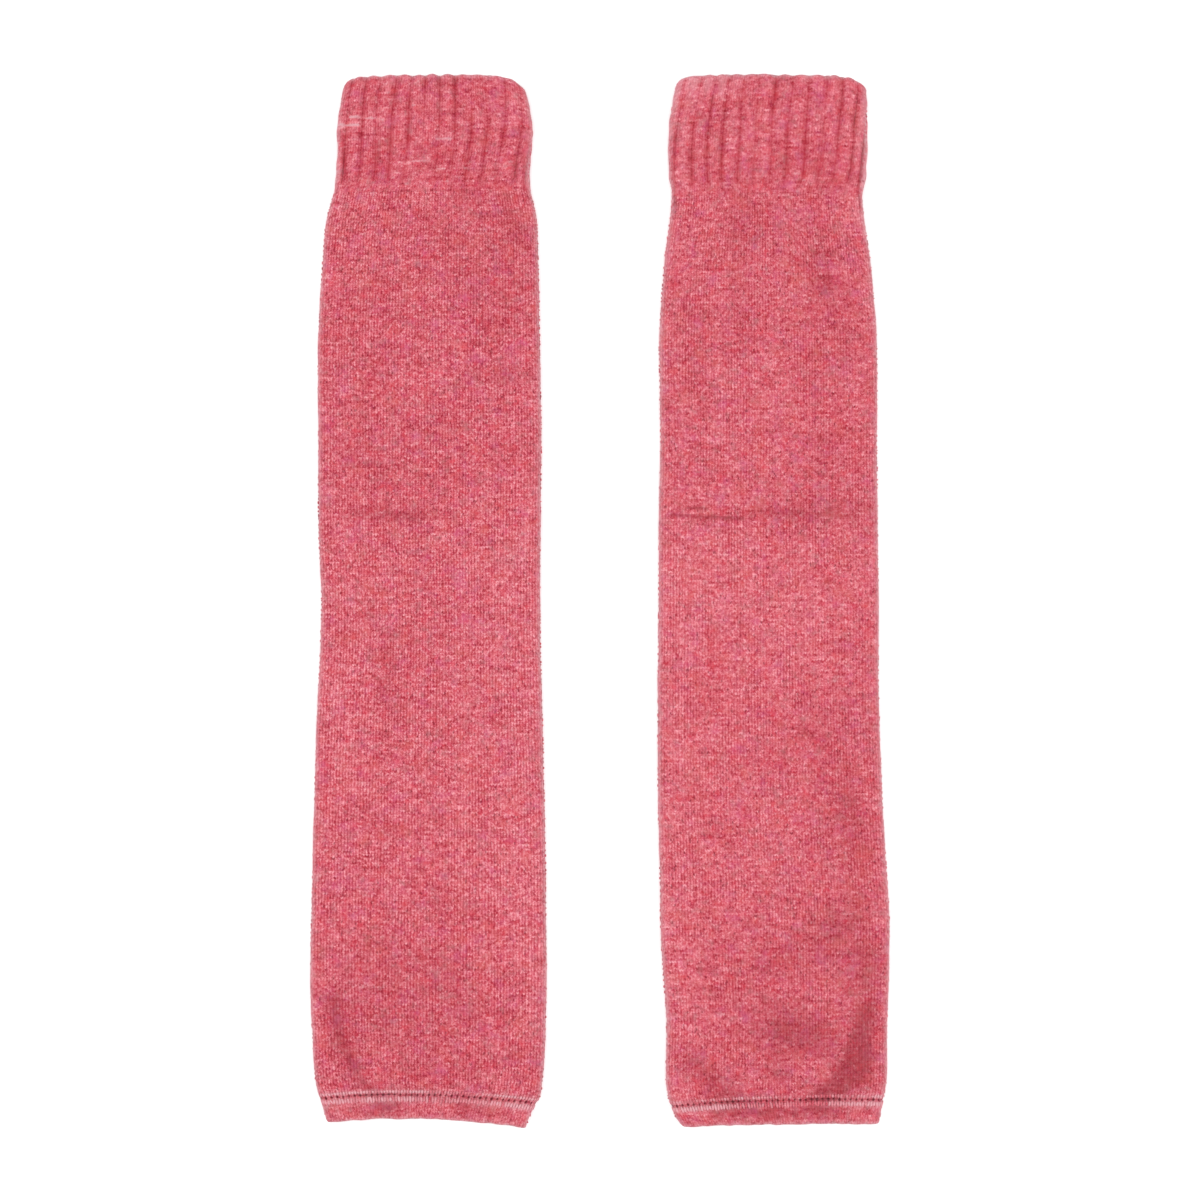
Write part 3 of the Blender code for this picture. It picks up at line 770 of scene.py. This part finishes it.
def fuzz_sheen_and_thread_share(leg, piece, distances, form):
    """How pale each point of the outer face is: along folds and ends for the fuzz of loose fibres and
    painted sheen, near the hem's stitches for their thread.
    """
    rubbed = np.exp(-form.inset / FUZZ_SHEEN_REACH) * eased((form.nz - FUZZ_SHEEN_FROM) / FUZZ_SHEEN_TURN)
    if piece.round_start:
        rubbed = np.maximum(rubbed, np.exp((piece.start - distances) / FUZZ_SHEEN_REACH)[:, None])
    if piece.round_end:
        rubbed = np.maximum(rubbed, np.exp((distances - piece.end) / FUZZ_SHEEN_REACH)[:, None])
    if piece.ribbed:
        return rubbed
    for row in STITCH_ROWS:
        thread = np.where(form.nz > 0, table_values(leg.thread, row.column, form.x), HIDDEN_THREAD)
        near = np.exp(-(((distances - row.distance) / (THREAD_REACH * row.length)) ** 2))
        rubbed = np.maximum(rubbed, THREAD_BLOOM * thread * near[:, None])
    return rubbed


def hollow_shade(leg, piece, distances, places, form):
    """How much shade is painted on each point of the outer face for its furrow or crease; below 0,
    paler.
    """
    shade = creased(leg, "dark", form.x, form.y - LENGTHWISE_SHIFT) * form.up
    if piece.ribbed:
        relief = rib_relief(leg, distances, places)
        top = RIB_RAISE * eased(distances / RIB_FADE)[:, None]
        shade = shade + np.clip((top - relief) / (2 * RIB_RAISE), 0, 1) * FURROW_SHADE
    return np.clip(shade, PALEST, DARKEST)


def pieces_of(leg):
    leg_length, cuff_length = leg.cuff_seam - leg.hem_seam, leg.mouth - leg.cuff_seam
    hem = ("hem_band", HEM_WALL, HEM_HEIGHTS, HEM_ROW_STEPS, "hem_seam", -HEM_DEPTH, 0.0)
    tube = ("leg_tube", LEG_WALL, LEG_HEIGHTS, LEG_ROW_STEPS, "hem_seam", 0.0, leg_length)
    cuff = ("rib_cuff", CUFF_WALL, CUFF_HEIGHTS, CUFF_ROW_STEPS, "cuff_seam", 0.0, cuff_length)
    return Piece(*hem, round_start=True), Piece(*tube), Piece(*cuff, round_end=True, ribbed=True)


# --- Hem stitches and loops of yarn ---

BEAD_SIDES = 8
BEAD_RINGS = 5
STITCH_SINK = 0.02
STITCH_TILT_SPREAD = 4  # in degrees
STITCH_SIZES = (0.65, 1.15)
STITCH_SHOWN_SPREAD = 0.25
LOOP_SPACING = 1.9
RIB_LOOP_SPACING = 0.7 * LOOP_SPACING
LOOP_SPACING_SHARES = (0.4, 1.6)  # the least and the most of it between two loops
LOOP_FREE_START, LOOP_FREE_END = 1.0, 1.5  # with no loops, at a piece's ends
LOOP_LENGTH = (0.6, 1.5)
LOOP_THICKNESS = (0.05, 0.42)
LOOP_HALF_WIDTH = 0.6
FOLD_WALES = np.arange(-4.0, 4.1, 0.5)  # about a fold, where its outermost point is looked for


def bead_shape():
    """The points and faces of one small closed bead, within 1 of its middle."""
    points = [(0.0, -1.0, 0.0)]
    for ring in range(1, BEAD_RINGS):
        angle = math.pi * ring / BEAD_RINGS
        for side in range(BEAD_SIDES):
            around = 2 * math.pi * side / BEAD_SIDES
            reach = math.sin(angle)
            points.append((reach * math.cos(around), -math.cos(angle), reach * math.sin(around)))
    points.append((0.0, 1.0, 0.0))
    last = len(points) - 1
    faces = []
    for side in range(BEAD_SIDES):
        after = (side + 1) % BEAD_SIDES
        faces.append((0, 1 + after, 1 + side))
        for ring in range(BEAD_RINGS - 2):
            low, high = 1 + ring * BEAD_SIDES, 1 + (ring + 1) * BEAD_SIDES
            faces.append((low + side, low + after, high + after, high + side))
        top = 1 + (BEAD_RINGS - 2) * BEAD_SIDES
        faces.append((top + side, top + after, last))
    return np.array(points), faces


def beads_object(name, beads, bead_faces, corner_uvs, material):
    """One mesh of many beads, each given as its points."""
    starts = range(0, len(beads) * len(beads[0]), len(beads[0]))
    faces = [tuple(start + corner for corner in face) for start in starts for face in bead_faces]
    return mesh_object(name, np.concatenate(beads), faces, np.array(corner_uvs), material)


def hem_stitches(leg, material):
    """Rows of small stitches, sunk by half, that hold the turned hem on both sides of its seam."""
    hem, tube, _ = pieces_of(leg)
    shape, shape_faces = bead_shape()
    shape_corners = sum(len(face) for face in shape_faces)
    rng = np.random.default_rng(57 + leg.course_start)
    wales = np.arange(WALES) + 0.5
    beads, uvs, shown = [], [], []
    for row in STITCH_ROWS:
        piece = hem if row.distance < 0 else tube
        centres, along, up, out = stitch_axes(leg, piece, row.distance, wales)
        thread = table_values(leg.thread, row.column, centres[:, 0])
        thread = np.where(out[:, 2] > 0, thread, HIDDEN_THREAD)
        for i, wale in enumerate(wales):
            tilt = row.tilt * (1 if i % 2 else -1) + rng.normal(0, STITCH_TILT_SPREAD)
            tilt = math.radians(tilt)
            side = (math.cos(tilt) * along[i] + math.sin(tilt) * up[i]) * row.width / 2
            length = (math.cos(tilt) * up[i] - math.sin(tilt) * along[i]) * row.length / 2
            length *= rng.uniform(*STITCH_SIZES)
            bead = centres[i] + shape @ np.array([side, length, out[i] * row.thickness])
            bead[:, 2] = np.maximum(bead[:, 2], 0.0)
            beads.append(bead)
            uvs += [(wale, leg.course_start + row.distance / COURSE)] * shape_corners
            shown.append(np.clip(thread[i] + rng.normal(0, STITCH_SHOWN_SPREAD), 0, 1))
    obj = beads_object(f"{leg.side}_hem_stitches", beads, shape_faces, uvs, material)
    add_point_values(obj, "shown", np.repeat(shown, len(shape)))
    return obj


def stitch_axes(leg, piece, distance, wales):
    """The middles of a row of stitches, and the directions along the row, up the leg and out."""
    distances = distance + np.array([-0.5, 0.0, 0.5])
    places = wales / WALES_PER_RIB
    forms = [form_of(leg, piece, distances, places + nudge) for nudge in (-0.05, 0.0, 0.05)]
    before, here, after = (moved_out(form, -STITCH_SINK * form.up) for form in forms)
    along, up = after[1] - before[1], here[2] - here[0]
    along /= np.linalg.norm(along, axis=1, keepdims=True)
    up /= np.linalg.norm(up, axis=1, keepdims=True)
    out = np.cross(along, up)
    out /= np.linalg.norm(out, axis=1, keepdims=True)
    normals = np.stack([forms[1].nx[1], 0 * forms[1].nx[1], forms[1].nz[1]], -1)
    return here[1], along, up, out * np.sign(np.sum(out * normals, axis=1))[:, None]


def fold_loops(leg, piece, material):
    """Loops of yarn that stand out a little along both folds, so that the outline is uneven."""
    shape, shape_faces = bead_shape()
    corners = np.concatenate([shape[list(face)] for face in shape_faces])
    rng = np.random.default_rng(83 + leg.course_start + len(piece.name))
    from_hem_seam = getattr(leg, piece.datum) - leg.hem_seam
    spacing = RIB_LOOP_SPACING if piece.ribbed else LOOP_SPACING
    most = int((piece.end - piece.start) / spacing * 2)
    beads, uvs = [], []
    for middle in (WALES / 4, 3 * WALES / 4):
        distances = np.cumsum(rng.uniform(*LOOP_SPACING_SHARES, most)) * spacing
        distances += piece.start + LOOP_FREE_START
        distances = distances[distances < piece.end - LOOP_FREE_END]
        wales = middle + FOLD_WALES
        form = form_of(leg, piece, distances, wales / WALES_PER_RIB)
        outermost = np.arange(len(distances)), np.argmax(np.abs(form.nx), axis=1)
        centres = moved_out(form, 0.0)[outermost]
        normals = zip(form.nx[outermost], form.nz[outermost])
        courses = (distances + from_hem_seam) / COURSE + leg.course_start
        for centre, (nx, nz), wale, course in zip(centres, normals, wales[outermost[1]], courses):
            length, thickness = rng.uniform(*LOOP_LENGTH), rng.uniform(*LOOP_THICKNESS)
            axes = [
                (-LOOP_HALF_WIDTH * nz, 0.0, LOOP_HALF_WIDTH * nx),
                (0.0, length / 2, 0.0),
                (thickness * nx, 0.0, thickness * nz),
            ]
            beads.append(centre + shape @ np.array(axes))
            uvs += [(wale + x / 2, course + y / 2) for x, y, _ in corners]
    return beads_object(f"{leg.side}_{piece.name}_loops", beads, shape_faces, uvs, material)


# --- Materials ---

def fill(node, values):
    """Puts numbers and signals into a node's first inputs."""
    for value, socket in zip(values, node.inputs):
        if isinstance(value, Signal):
            value.feed(socket)
        else:
            socket.default_value = value


class Signal:
    """A shader socket that can be added, multiplied and so on. Each step is a Math node."""

    def __init__(self, tree, socket):
        self.tree = tree
        self.socket = socket

    def feed(self, node_input):
        self.tree.links.new(self.socket, node_input)

    def step(self, operation, *others):
        node = self.tree.nodes.new("ShaderNodeMath")
        node.operation = operation
        fill(node, (self, *others))
        return Signal(self.tree, node.outputs[0])

    def __add__(self, other):
        return self.step("ADD", other)

    __radd__ = __add__

    def __mul__(self, other):
        return self.step("MULTIPLY", other)

    __rmul__ = __mul__

    def __sub__(self, other):
        return self.step("SUBTRACT", other)

    def __rsub__(self, other):
        return (self * -1.0) + other

    def floor(self):
        return self.step("FLOOR")

    def fraction(self):
        return self.step("FRACT")

    def size(self):
        return self.step("ABSOLUTE")

    def power(self, exponent):
        return self.step("POWER", exponent)

    def wave(self):
        """0 where the signal is whole, 1 half way between."""
        return (self * (2 * math.pi)).step("COSINE") * -0.5 + 0.5

    def between(self, low, high):
        """0 below low, 1 above high, and a smooth step between them."""
        node = self.tree.nodes.new("ShaderNodeMapRange")
        node.interpolation_type = "SMOOTHSTEP"
        self.feed(node.inputs["Value"])
        node.inputs["From Min"].default_value = low
        node.inputs["From Max"].default_value = high
        return Signal(self.tree, node.outputs["Result"])


class Graph:
    """The nodes of one material."""

    def __init__(self, name):
        self.material = bpy.data.materials.new(name)
        self.material.use_nodes = True
        self.tree = self.material.node_tree
        self.shader = self.tree.nodes["Principled BSDF"]

    def wales_and_courses(self):
        node = self.tree.nodes.new("ShaderNodeUVMap")
        node.uv_map = "knit"
        split = self.tree.nodes.new("ShaderNodeSeparateXYZ")
        self.tree.links.new(node.outputs["UV"], split.inputs[0])
        return Signal(self.tree, split.outputs["X"]), Signal(self.tree, split.outputs["Y"])

    def attribute(self, name):
        node = self.tree.nodes.new("ShaderNodeAttribute")
        node.attribute_name = name
        return Signal(self.tree, node.outputs["Fac"])

    def vector(self, *values):
        node = self.tree.nodes.new("ShaderNodeCombineXYZ")
        fill(node, values)
        return node.outputs[0]

    def noise(self, vector, detail=0.0, roughness=0.5, scale=1.0):
        """Noise from about -1 to 1."""
        node = self.tree.nodes.new("ShaderNodeTexNoise")
        node.inputs["Scale"].default_value = scale
        node.inputs["Detail"].default_value = detail
        node.inputs["Roughness"].default_value = roughness
        self.tree.links.new(vector, node.inputs["Vector"])
        return Signal(self.tree, node.outputs["Fac"]) * 4.0 - 2.0

    def pattern(self, kind, wale, course):
        """Noise on the knit, from about -1 to 1, which closes on itself round the tube."""
        radius = WALES / (2 * math.pi) * kind.across
        turn = wale * (2 * math.pi / WALES)
        across = turn.step("COSINE") * radius, turn.step("SINE") * radius
        place = self.vector(*across, course * kind.along + kind.start)
        return self.noise(place, kind.detail, kind.roughness)

    def chance(self, *cell):
        """A value from -1 to 1 for each cell, with nothing in common between neighbours."""
        node = self.tree.nodes.new("ShaderNodeTexWhiteNoise")
        node.noise_dimensions = "3D"
        self.tree.links.new(self.vector(*cell), node.inputs["Vector"])
        return Signal(self.tree, node.outputs["Value"]) * 2.0 - 1.0

    def ramp(self, signal, stops):
        node = self.tree.nodes.new("ShaderNodeValToRGB")
        signal.feed(node.inputs["Fac"])
        elements = node.color_ramp.elements
        while len(elements) < len(stops):
            elements.new(1.0)
        for element, (place, colour) in zip(elements, stops):
            element.position = place
            element.color = (*colour, 1.0)
        return node.outputs["Color"]

    def mixed(self, amount, first, second):
        node = self.tree.nodes.new("ShaderNodeMix")
        node.data_type = "RGBA"
        colour_inputs = [socket for socket in node.inputs if socket.type == "RGBA"]
        factor = next(socket for socket in node.inputs if socket.type == "VALUE")
        amount.feed(factor)
        for value, socket in zip((first, second), colour_inputs):
            if isinstance(value, tuple):
                socket.default_value = (*value, 1.0)
            else:
                self.tree.links.new(value, socket)
        return next(socket for socket in node.outputs if socket.type == "RGBA")

    def bump(self, height, distance):
        node = self.tree.nodes.new("ShaderNodeBump")
        node.inputs["Strength"].default_value = 1.0
        node.inputs["Distance"].default_value = distance
        height.feed(node.inputs["Height"])
        self.tree.links.new(node.outputs["Normal"], self.shader.inputs["Normal"])


def srgb(red, green, blue):
    """A colour given as on a screen, 0 to 255, as Blender's linear one."""
    def linear(value):
        value /= 255
        return value / 12.92 if value <= 0.04045 else ((value + 0.055) / 1.055) ** 2.4
    return tuple(linear(value) for value in (red, green, blue))


CRIMSON = srgb(132, 25, 42)
DEEP_ROSE = srgb(160, 51, 65)
ROSE = srgb(172, 68, 81)
CORAL_PINK = srgb(180, 80, 92)
PINK = srgb(189, 94, 105)
LIGHT_PINK = srgb(202, 112, 122)
PALE_PINK = srgb(212, 140, 148)
BLOOM_PINK = srgb(192, 143, 149)
CARMINE = srgb(187, 52, 66)
ASH_PINK = srgb(155, 96, 100)
ORCHID_PINK = srgb(179, 79, 117)
SALMON = srgb(183, 83, 78)
THREAD_PINK = srgb(204, 153, 160)
HOLE_SHADOW_MAROON = srgb(104, 24, 38)
# The colours of the shadow painted into rib furrows, and into creases of the jersey and hem
FURROW_SHADOW_RED = srgb(160, 33, 47)
HOLLOW_SHADOW_ROSE = srgb(132, 49, 57)
SHEEN_TINT = srgb(250, 214, 218)

YARN_STOPS = (
    (0.00, CRIMSON),
    (0.22, DEEP_ROSE),
    (0.38, ROSE),
    (0.50, CORAL_PINK),
    (0.64, PINK),
    (0.84, LIGHT_PINK),
    (1.00, PALE_PINK),
)

# How a knit looks: the colour of the shadow painted into its creases and furrows, whether it has the
# seam's painted dark dots, its contrasts, in shares of the yarn's ramp of colours, and how fine its
# streaks are
Look = namedtuple(
    "Look", "slot hollow seam tone streak fineness stitch fibre mottle groove fleck speck"
)
LOOKS = {
    "hem_band": Look(
        "hem_knit", HOLLOW_SHADOW_ROSE, True, 0.575, 0.20, 0.60, 0.21, 0.30, 0.07, 0.38, 0.35, 0.50
    ),
    "leg_tube": Look(
        "jersey_knit", HOLLOW_SHADOW_ROSE, True, 0.60, 0.20, 0.70, 0.22, 0.34, 0.035, 0.58, 0.25, 0.60
    ),
    "rib_cuff": Look(
        "rib_knit", FURROW_SHADOW_RED, False, 0.575, 0.22, 0.62, 0.125, 0.29, 0.065, 0.27, 0.55, 0.35
    ),
}

# Noises on the knit: how fine they are along a course and up the leg, and where they start
Pattern = namedtuple("Pattern", "across along start detail roughness", defaults=(0.0, 0.0, 0.5))
FIBRES = Pattern(1.7, 2.0, detail=2.0)
STRANDS = Pattern(2.2, 0.45, 5.0)
BANDS = Pattern(0.13, 0.9, 50.0)
MOTTLE = Pattern(0.16, 0.12, detail=1.0)
WIDE_MOTTLE = Pattern(0.045, 0.035)
LINED = Pattern(0.11, 0.05, 11.0, 1.0)
FLECKS = Pattern(0.25, 3.7, 60.0, 1.0)
PATCHES = Pattern(0.30, 0.27, 31.0, 3.0, 0.65)
WIDE_PATCHES = Pattern(0.16, 0.14, 77.0, 3.0, 0.7)
STREAK_STEP = 7.31  # between courses, so that their streaks have nothing in common
BAND_SHARE = 0.5  # of the streaks' contrast
STITCH_SHARE = 0.35  # of the contrast of the stitches' legs
STRAND_SHARE = 0.12  # of the grooves' contrast
GROOVE_SHARE = 0.5  # of the same, which darkens the tone in the grooves and between the legs: painted shade
WIDE_MOTTLE_SHARE = 0.6
SHADE_WEIGHT = 0.22  # how far full painted shade in a crease or furrow moves the tone
HUE_SPREAD = 0.12  # how much neighbouring lengths of yarn differ in hue
NEP_SHARE = 0.8  # of the specks' contrast, for the pale ones
LEG_ENDS = 480.0, 520.0  # in courses: the left leg lies below them and the right one above

# The dark dots of the hem seam, shade painted into its gaps, in millimetres
DOT_SIDESTEP = 0.18  # the most that one lies above or below the seam
DOT_GROWTH = 0.12  # the most that one is larger or smaller
DOT_RADII = (0.30, 0.68)  # where one starts to fade, and where it ends
SEAM_LINE_FADE = (0.1, 0.5)
SEAM_LINE_SHARE = 0.2  # of the dots' strength
COURSES_BELOW_SEAM = 500.0  # more than lie there

STITCH_HEIGHT = 0.00009  # in metres
THREAD_FIBRE_HEIGHT = 0.00004
STITCH_SLANT = 0.45  # how far a stitch's legs rise from its foot to its shoulders, in courses


def knit_material(look):
    """Melange yarn in plain knit stitches, drawn from the surface's wales and courses."""
    graph = Graph(f"{look.slot}_melange")
    wale, course = graph.wales_and_courses()
    from_middle = ((wale.fraction() - 0.5) * 2.0).size()
    leg_course = course - from_middle * STITCH_SLANT
    between_legs = (leg_course + 0.5).wave()
    wale_number, course_number = wale.floor(), leg_course.floor()
    half_wale = (wale * 2.0).floor()

    # The yarn runs along a course, so its shades do too, a few stitches at a time.
    streaks = graph.pattern(Pattern(look.fineness, STREAK_STEP), wale, course_number)
    bands = graph.pattern(BANDS, wale, course_number)
    stitches = graph.chance(wale_number, course_number, 0.0)
    legs = graph.chance(half_wale, (leg_course * 1.4).floor(), 5.0)
    fibres = graph.pattern(FIBRES, wale, leg_course)
    strands = graph.pattern(STRANDS, wale, course)
    mottle = graph.pattern(MOTTLE, wale, course)
    mottle = mottle + graph.pattern(WIDE_MOTTLE, wale, course) * WIDE_MOTTLE_SHARE
    # In places the wales show as fine lines, in others hardly, and more on the left leg.
    left = 1.0 - course.between(*LEG_ENDS)
    crisp = left * 0.14 + 0.86
    lined = (graph.pattern(LINED, wale, course) + left * 0.5).between(-0.8, 0.9)
    # Painted shade: the gaps between a stitch's legs and the grooves between wales darken the tone
    gap = between_legs.power(3.0) * 0.5
    groove = from_middle.between(0.62, 1.0)

    # Shade painted into creases and furrows; below 0, paler places
    shade = graph.attribute("shade")
    tone = (
        streaks * look.streak
        + bands * (look.streak * BAND_SHARE)
        + ((stitches * STITCH_SHARE + legs) * look.stitch + fibres * look.fibre) * crisp
        + strands * lined * look.groove * STRAND_SHARE
        + mottle * look.mottle
        + look.tone
        - shade * SHADE_WEIGHT
        - (gap * 0.5 + groove * (lined * 1.3 + 0.4)) * look.groove * GROOVE_SHARE
    )

    # Fibres of other colours in short lengths of the yarn
    hue = graph.chance(half_wale, course_number, 12.0) * HUE_SPREAD
    patches, wide_patches = (graph.pattern(kind, wale, course) for kind in (PATCHES, WIDE_PATCHES))
    colour = graph.ramp(tone, YARN_STOPS)
    for places, amount, tint in (
        (patches + hue, 0.7, CARMINE),
        (hue - patches, 0.65, ASH_PINK),
        (wide_patches + hue, 0.5, ORCHID_PINK),
        (hue - wide_patches, 0.5, SALMON),
    ):
        colour = graph.mixed(places.between(0.0, 1.2) * amount, colour, tint)
    # Pale neps of the yarn, and dark specks with shade painted into small holes of the knit
    specks = graph.chance(half_wale, course_number, 9.0)
    neps, holes = specks.between(0.96, 0.985), (specks * -1.0).between(0.95, 0.98)
    flecks = graph.pattern(FLECKS, wale, course_number)
    # Painted shadow: creases and furrows are mixed towards a darker colour, keeping some of the
    # stitches' texture
    hollow = shade.between(0.0, 1.0) * (0.5 + legs * 0.25 + fibres * 0.15)
    paler = shade * -1.0
    paler = paler.between(0.3, 1.0) * 0.5 + paler.between(1.0, 1.5) * 0.4
    for amount, tint in (
        (neps * (look.speck * NEP_SHARE), PALE_PINK),
        (holes * look.speck, HOLE_SHADOW_MAROON),
        (flecks.between(0.75, 1.4) * look.fleck, BLOOM_PINK),
        (hollow, look.hollow),
        (paler, BLOOM_PINK),
        # Pale fuzz with painted sheen along folds and ends, and the hem's pale thread
        (graph.attribute("rubbed") * (legs * 0.5 + 0.82), BLOOM_PINK),
    ):
        colour = graph.mixed(amount, colour, tint)
    # The hem seam's dark dots: shade painted into its gaps
    if look.seam:
        colour = graph.mixed(seam_dots(graph, wale, course), colour, HOLE_SHADOW_MAROON)
    graph.tree.links.new(colour, graph.shader.inputs["Base Color"])

    relief = (1.0 - gap * 2.0) * (1.0 - groove) + fibres * 0.18 + stitches * 0.12
    graph.bump(relief, STITCH_HEIGHT)
    finish(graph)
    return graph.material


def seam_dots(graph, wale, course):
    """Where shade is painted into the hem seam's gaps: uneven dark dots at every other wale, a faint
    line between.
    """
    # Both legs count their courses from the hem seam, the right one from its own start.
    from_seam = (course + COURSES_BELOW_SEAM).step("MODULO", float(RIGHT_LEG_COURSE_START))
    from_seam = (from_seam - COURSES_BELOW_SEAM) * COURSE
    pit = wale * (1.0 / WALES_PER_PIT) + 0.5
    size = graph.chance(pit.floor(), 0.0, 21.0)
    height = graph.chance(pit.floor(), 0.0, 22.0)
    across = (pit.fraction() - 0.5) * (WALES_PER_PIT * WALE_WIDTH)
    from_pit = (across * across + (from_seam + height * DOT_SIDESTEP).power(2.0)).step("SQRT")
    dot = 1.0 - (from_pit - size * DOT_GROWTH).between(*DOT_RADII)
    line = (1.0 - from_seam.size().between(*SEAM_LINE_FADE)) * SEAM_LINE_SHARE
    return dot.step("MAXIMUM", line) * (size * 0.1 + 0.8)


def stitch_material():
    """The pale thread of the hem, which sinks into the colour of the knit here and there."""
    graph = Graph("hem_stitch_thread")
    wale, course = graph.wales_and_courses()
    stitches = graph.chance((wale * 2.0).floor(), course.floor(), 2.0)
    position = graph.tree.nodes.new("ShaderNodeTexCoord").outputs["Object"]
    fibres = graph.noise(position, detail=2.0, scale=1500.0)
    yarn = graph.ramp(stitches * 0.15 + fibres * 0.22 + 0.54, YARN_STOPS)
    amount = (graph.attribute("shown") + fibres * 0.15) * 0.76
    graph.tree.links.new(graph.mixed(amount, yarn, THREAD_PINK), graph.shader.inputs["Base Color"])
    graph.bump(fibres, THREAD_FIBRE_HEIGHT)
    finish(graph)
    return graph.material


def finish(graph):
    """The settings that are the same all over: dull, with the pale bloom of loose fibres."""
    shader = graph.shader
    shader.inputs["Roughness"].default_value = 0.9
    shader.inputs["Metallic"].default_value = 0.0
    shader.inputs["Specular IOR Level"].default_value = 0.2
    shader.inputs["Sheen Weight"].default_value = 0.33
    shader.inputs["Sheen Roughness"].default_value = 0.25
    shader.inputs["Sheen Tint"].default_value = (*SHEEN_TINT, 1.0)


# --- Stage ---

FRAME_SIDE = 480.0  # what the square picture takes in at the height of the folds
FRAME_MIDDLE = (0.0, 0.4)
FOLD_MIDDLE_HEIGHT = 2.3
LENS = 135.0
SENSOR = 36.0
FLOOR_SIDE = 8.0  # in metres
FLOOR_STOPS = ((0.0, (0.95, 0.95, 0.95)), (1.0, (0.97, 0.97, 0.97)))
WORLD_STRENGTH = 0.68
Light = namedtuple("Light", "name place size power")  # in metres and watts
LIGHTS = (
    Light("soft_key", (-3.2, 1.0, 2.8), 1.6, 101.0),
    Light("soft_fill", (3.4, -0.8, 2.4), 2.0, 81.0),
    Light("soft_top", (0.3, -0.2, 3.2), 3.0, 46.0),
)


def floor_material():
    graph = Graph("pale_floor")
    position = graph.tree.nodes.new("ShaderNodeTexCoord")
    cloud = graph.noise(position.outputs["Object"], detail=2.0, scale=3.0)
    colour = graph.ramp(cloud * 0.25 + 0.5, FLOOR_STOPS)
    graph.tree.links.new(colour, graph.shader.inputs["Base Color"])
    graph.shader.inputs["Roughness"].default_value = 0.8
    graph.shader.inputs["Specular IOR Level"].default_value = 0.1
    return graph.material


def make_floor():
    bpy.ops.mesh.primitive_plane_add(size=FLOOR_SIDE, location=(0.0, 0.0, 0.0))
    floor = bpy.context.object
    floor.name = "floor"
    floor.data.materials.append(floor_material())


def area_light(settings):
    """A soft square light, turned towards the pair."""
    data = bpy.data.lights.new(settings.name, "AREA")
    data.size = settings.size
    data.energy = settings.power
    light = bpy.data.objects.new(settings.name, data)
    light.location = settings.place
    x, y, z = settings.place
    light.rotation_euler = (math.atan2(math.hypot(x, y), z), 0.0, math.atan2(-y, -x) - math.pi / 2)
    bpy.context.scene.collection.objects.link(light)


def make_lights():
    for settings in LIGHTS:
        area_light(settings)
    world = bpy.data.worlds.new("studio")
    world.use_nodes = True
    background = world.node_tree.nodes["Background"]
    background.inputs["Color"].default_value = (1.0, 1.0, 1.0, 1.0)
    background.inputs["Strength"].default_value = WORLD_STRENGTH
    bpy.context.scene.world = world
    bpy.context.scene.view_settings.view_transform = "Standard"


def make_camera():
    data = bpy.data.cameras.new("camera")
    data.lens = LENS
    data.sensor_width = SENSOR
    camera = bpy.data.objects.new("camera", data)
    height = FOLD_MIDDLE_HEIGHT + FRAME_SIDE * LENS / SENSOR
    camera.location = (FRAME_MIDDLE[0] * MM, FRAME_MIDDLE[1] * MM, height * MM)
    bpy.context.scene.collection.objects.link(camera)
    bpy.context.scene.camera = camera


# --- The pair ---

CUT_SECTIONS = 12  # where the way round is measured, for its mean


def flat_size(leg, piece):
    """The cut's size in metres: once round the tube, and from end to end over any rounded rim."""
    distances = np.linspace(piece.start, piece.end, CUT_SECTIONS)
    y = getattr(leg, piece.datum) + distances
    width = table_values(leg.edges, "right", y) - table_values(leg.edges, "left", y)
    height = table_values(piece.heights, "height", distances)
    rims = piece.round_start + piece.round_end
    length = piece.end - piece.start + rims * (math.pi / 2 - 1) * piece.wall / 2
    return float(np.mean(loop_length(width / 2, height))) * MM, length * MM


def dress(leg, materials, thread):
    for piece in pieces_of(leg):
        knit = knitted_wall(leg, piece, materials[piece.name])
        small_pieces = [fold_loops(leg, piece, materials[piece.name])]
        if piece.name == "hem_band":
            small_pieces.append(hem_stitches(leg, thread))
        for obj in (knit, *small_pieces):
            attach(obj, "root")
        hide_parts(f"{leg.side}_{piece.name}")
        flat_size(leg, piece)


make_camera()
make_lights()
make_floor()
knit_materials = {name: knit_material(look) for name, look in LOOKS.items()}
stitch_thread = stitch_material()
for leg_warmer in (LEFT_LEG, RIGHT_LEG):
    dress(leg_warmer, knit_materials, stitch_thread)
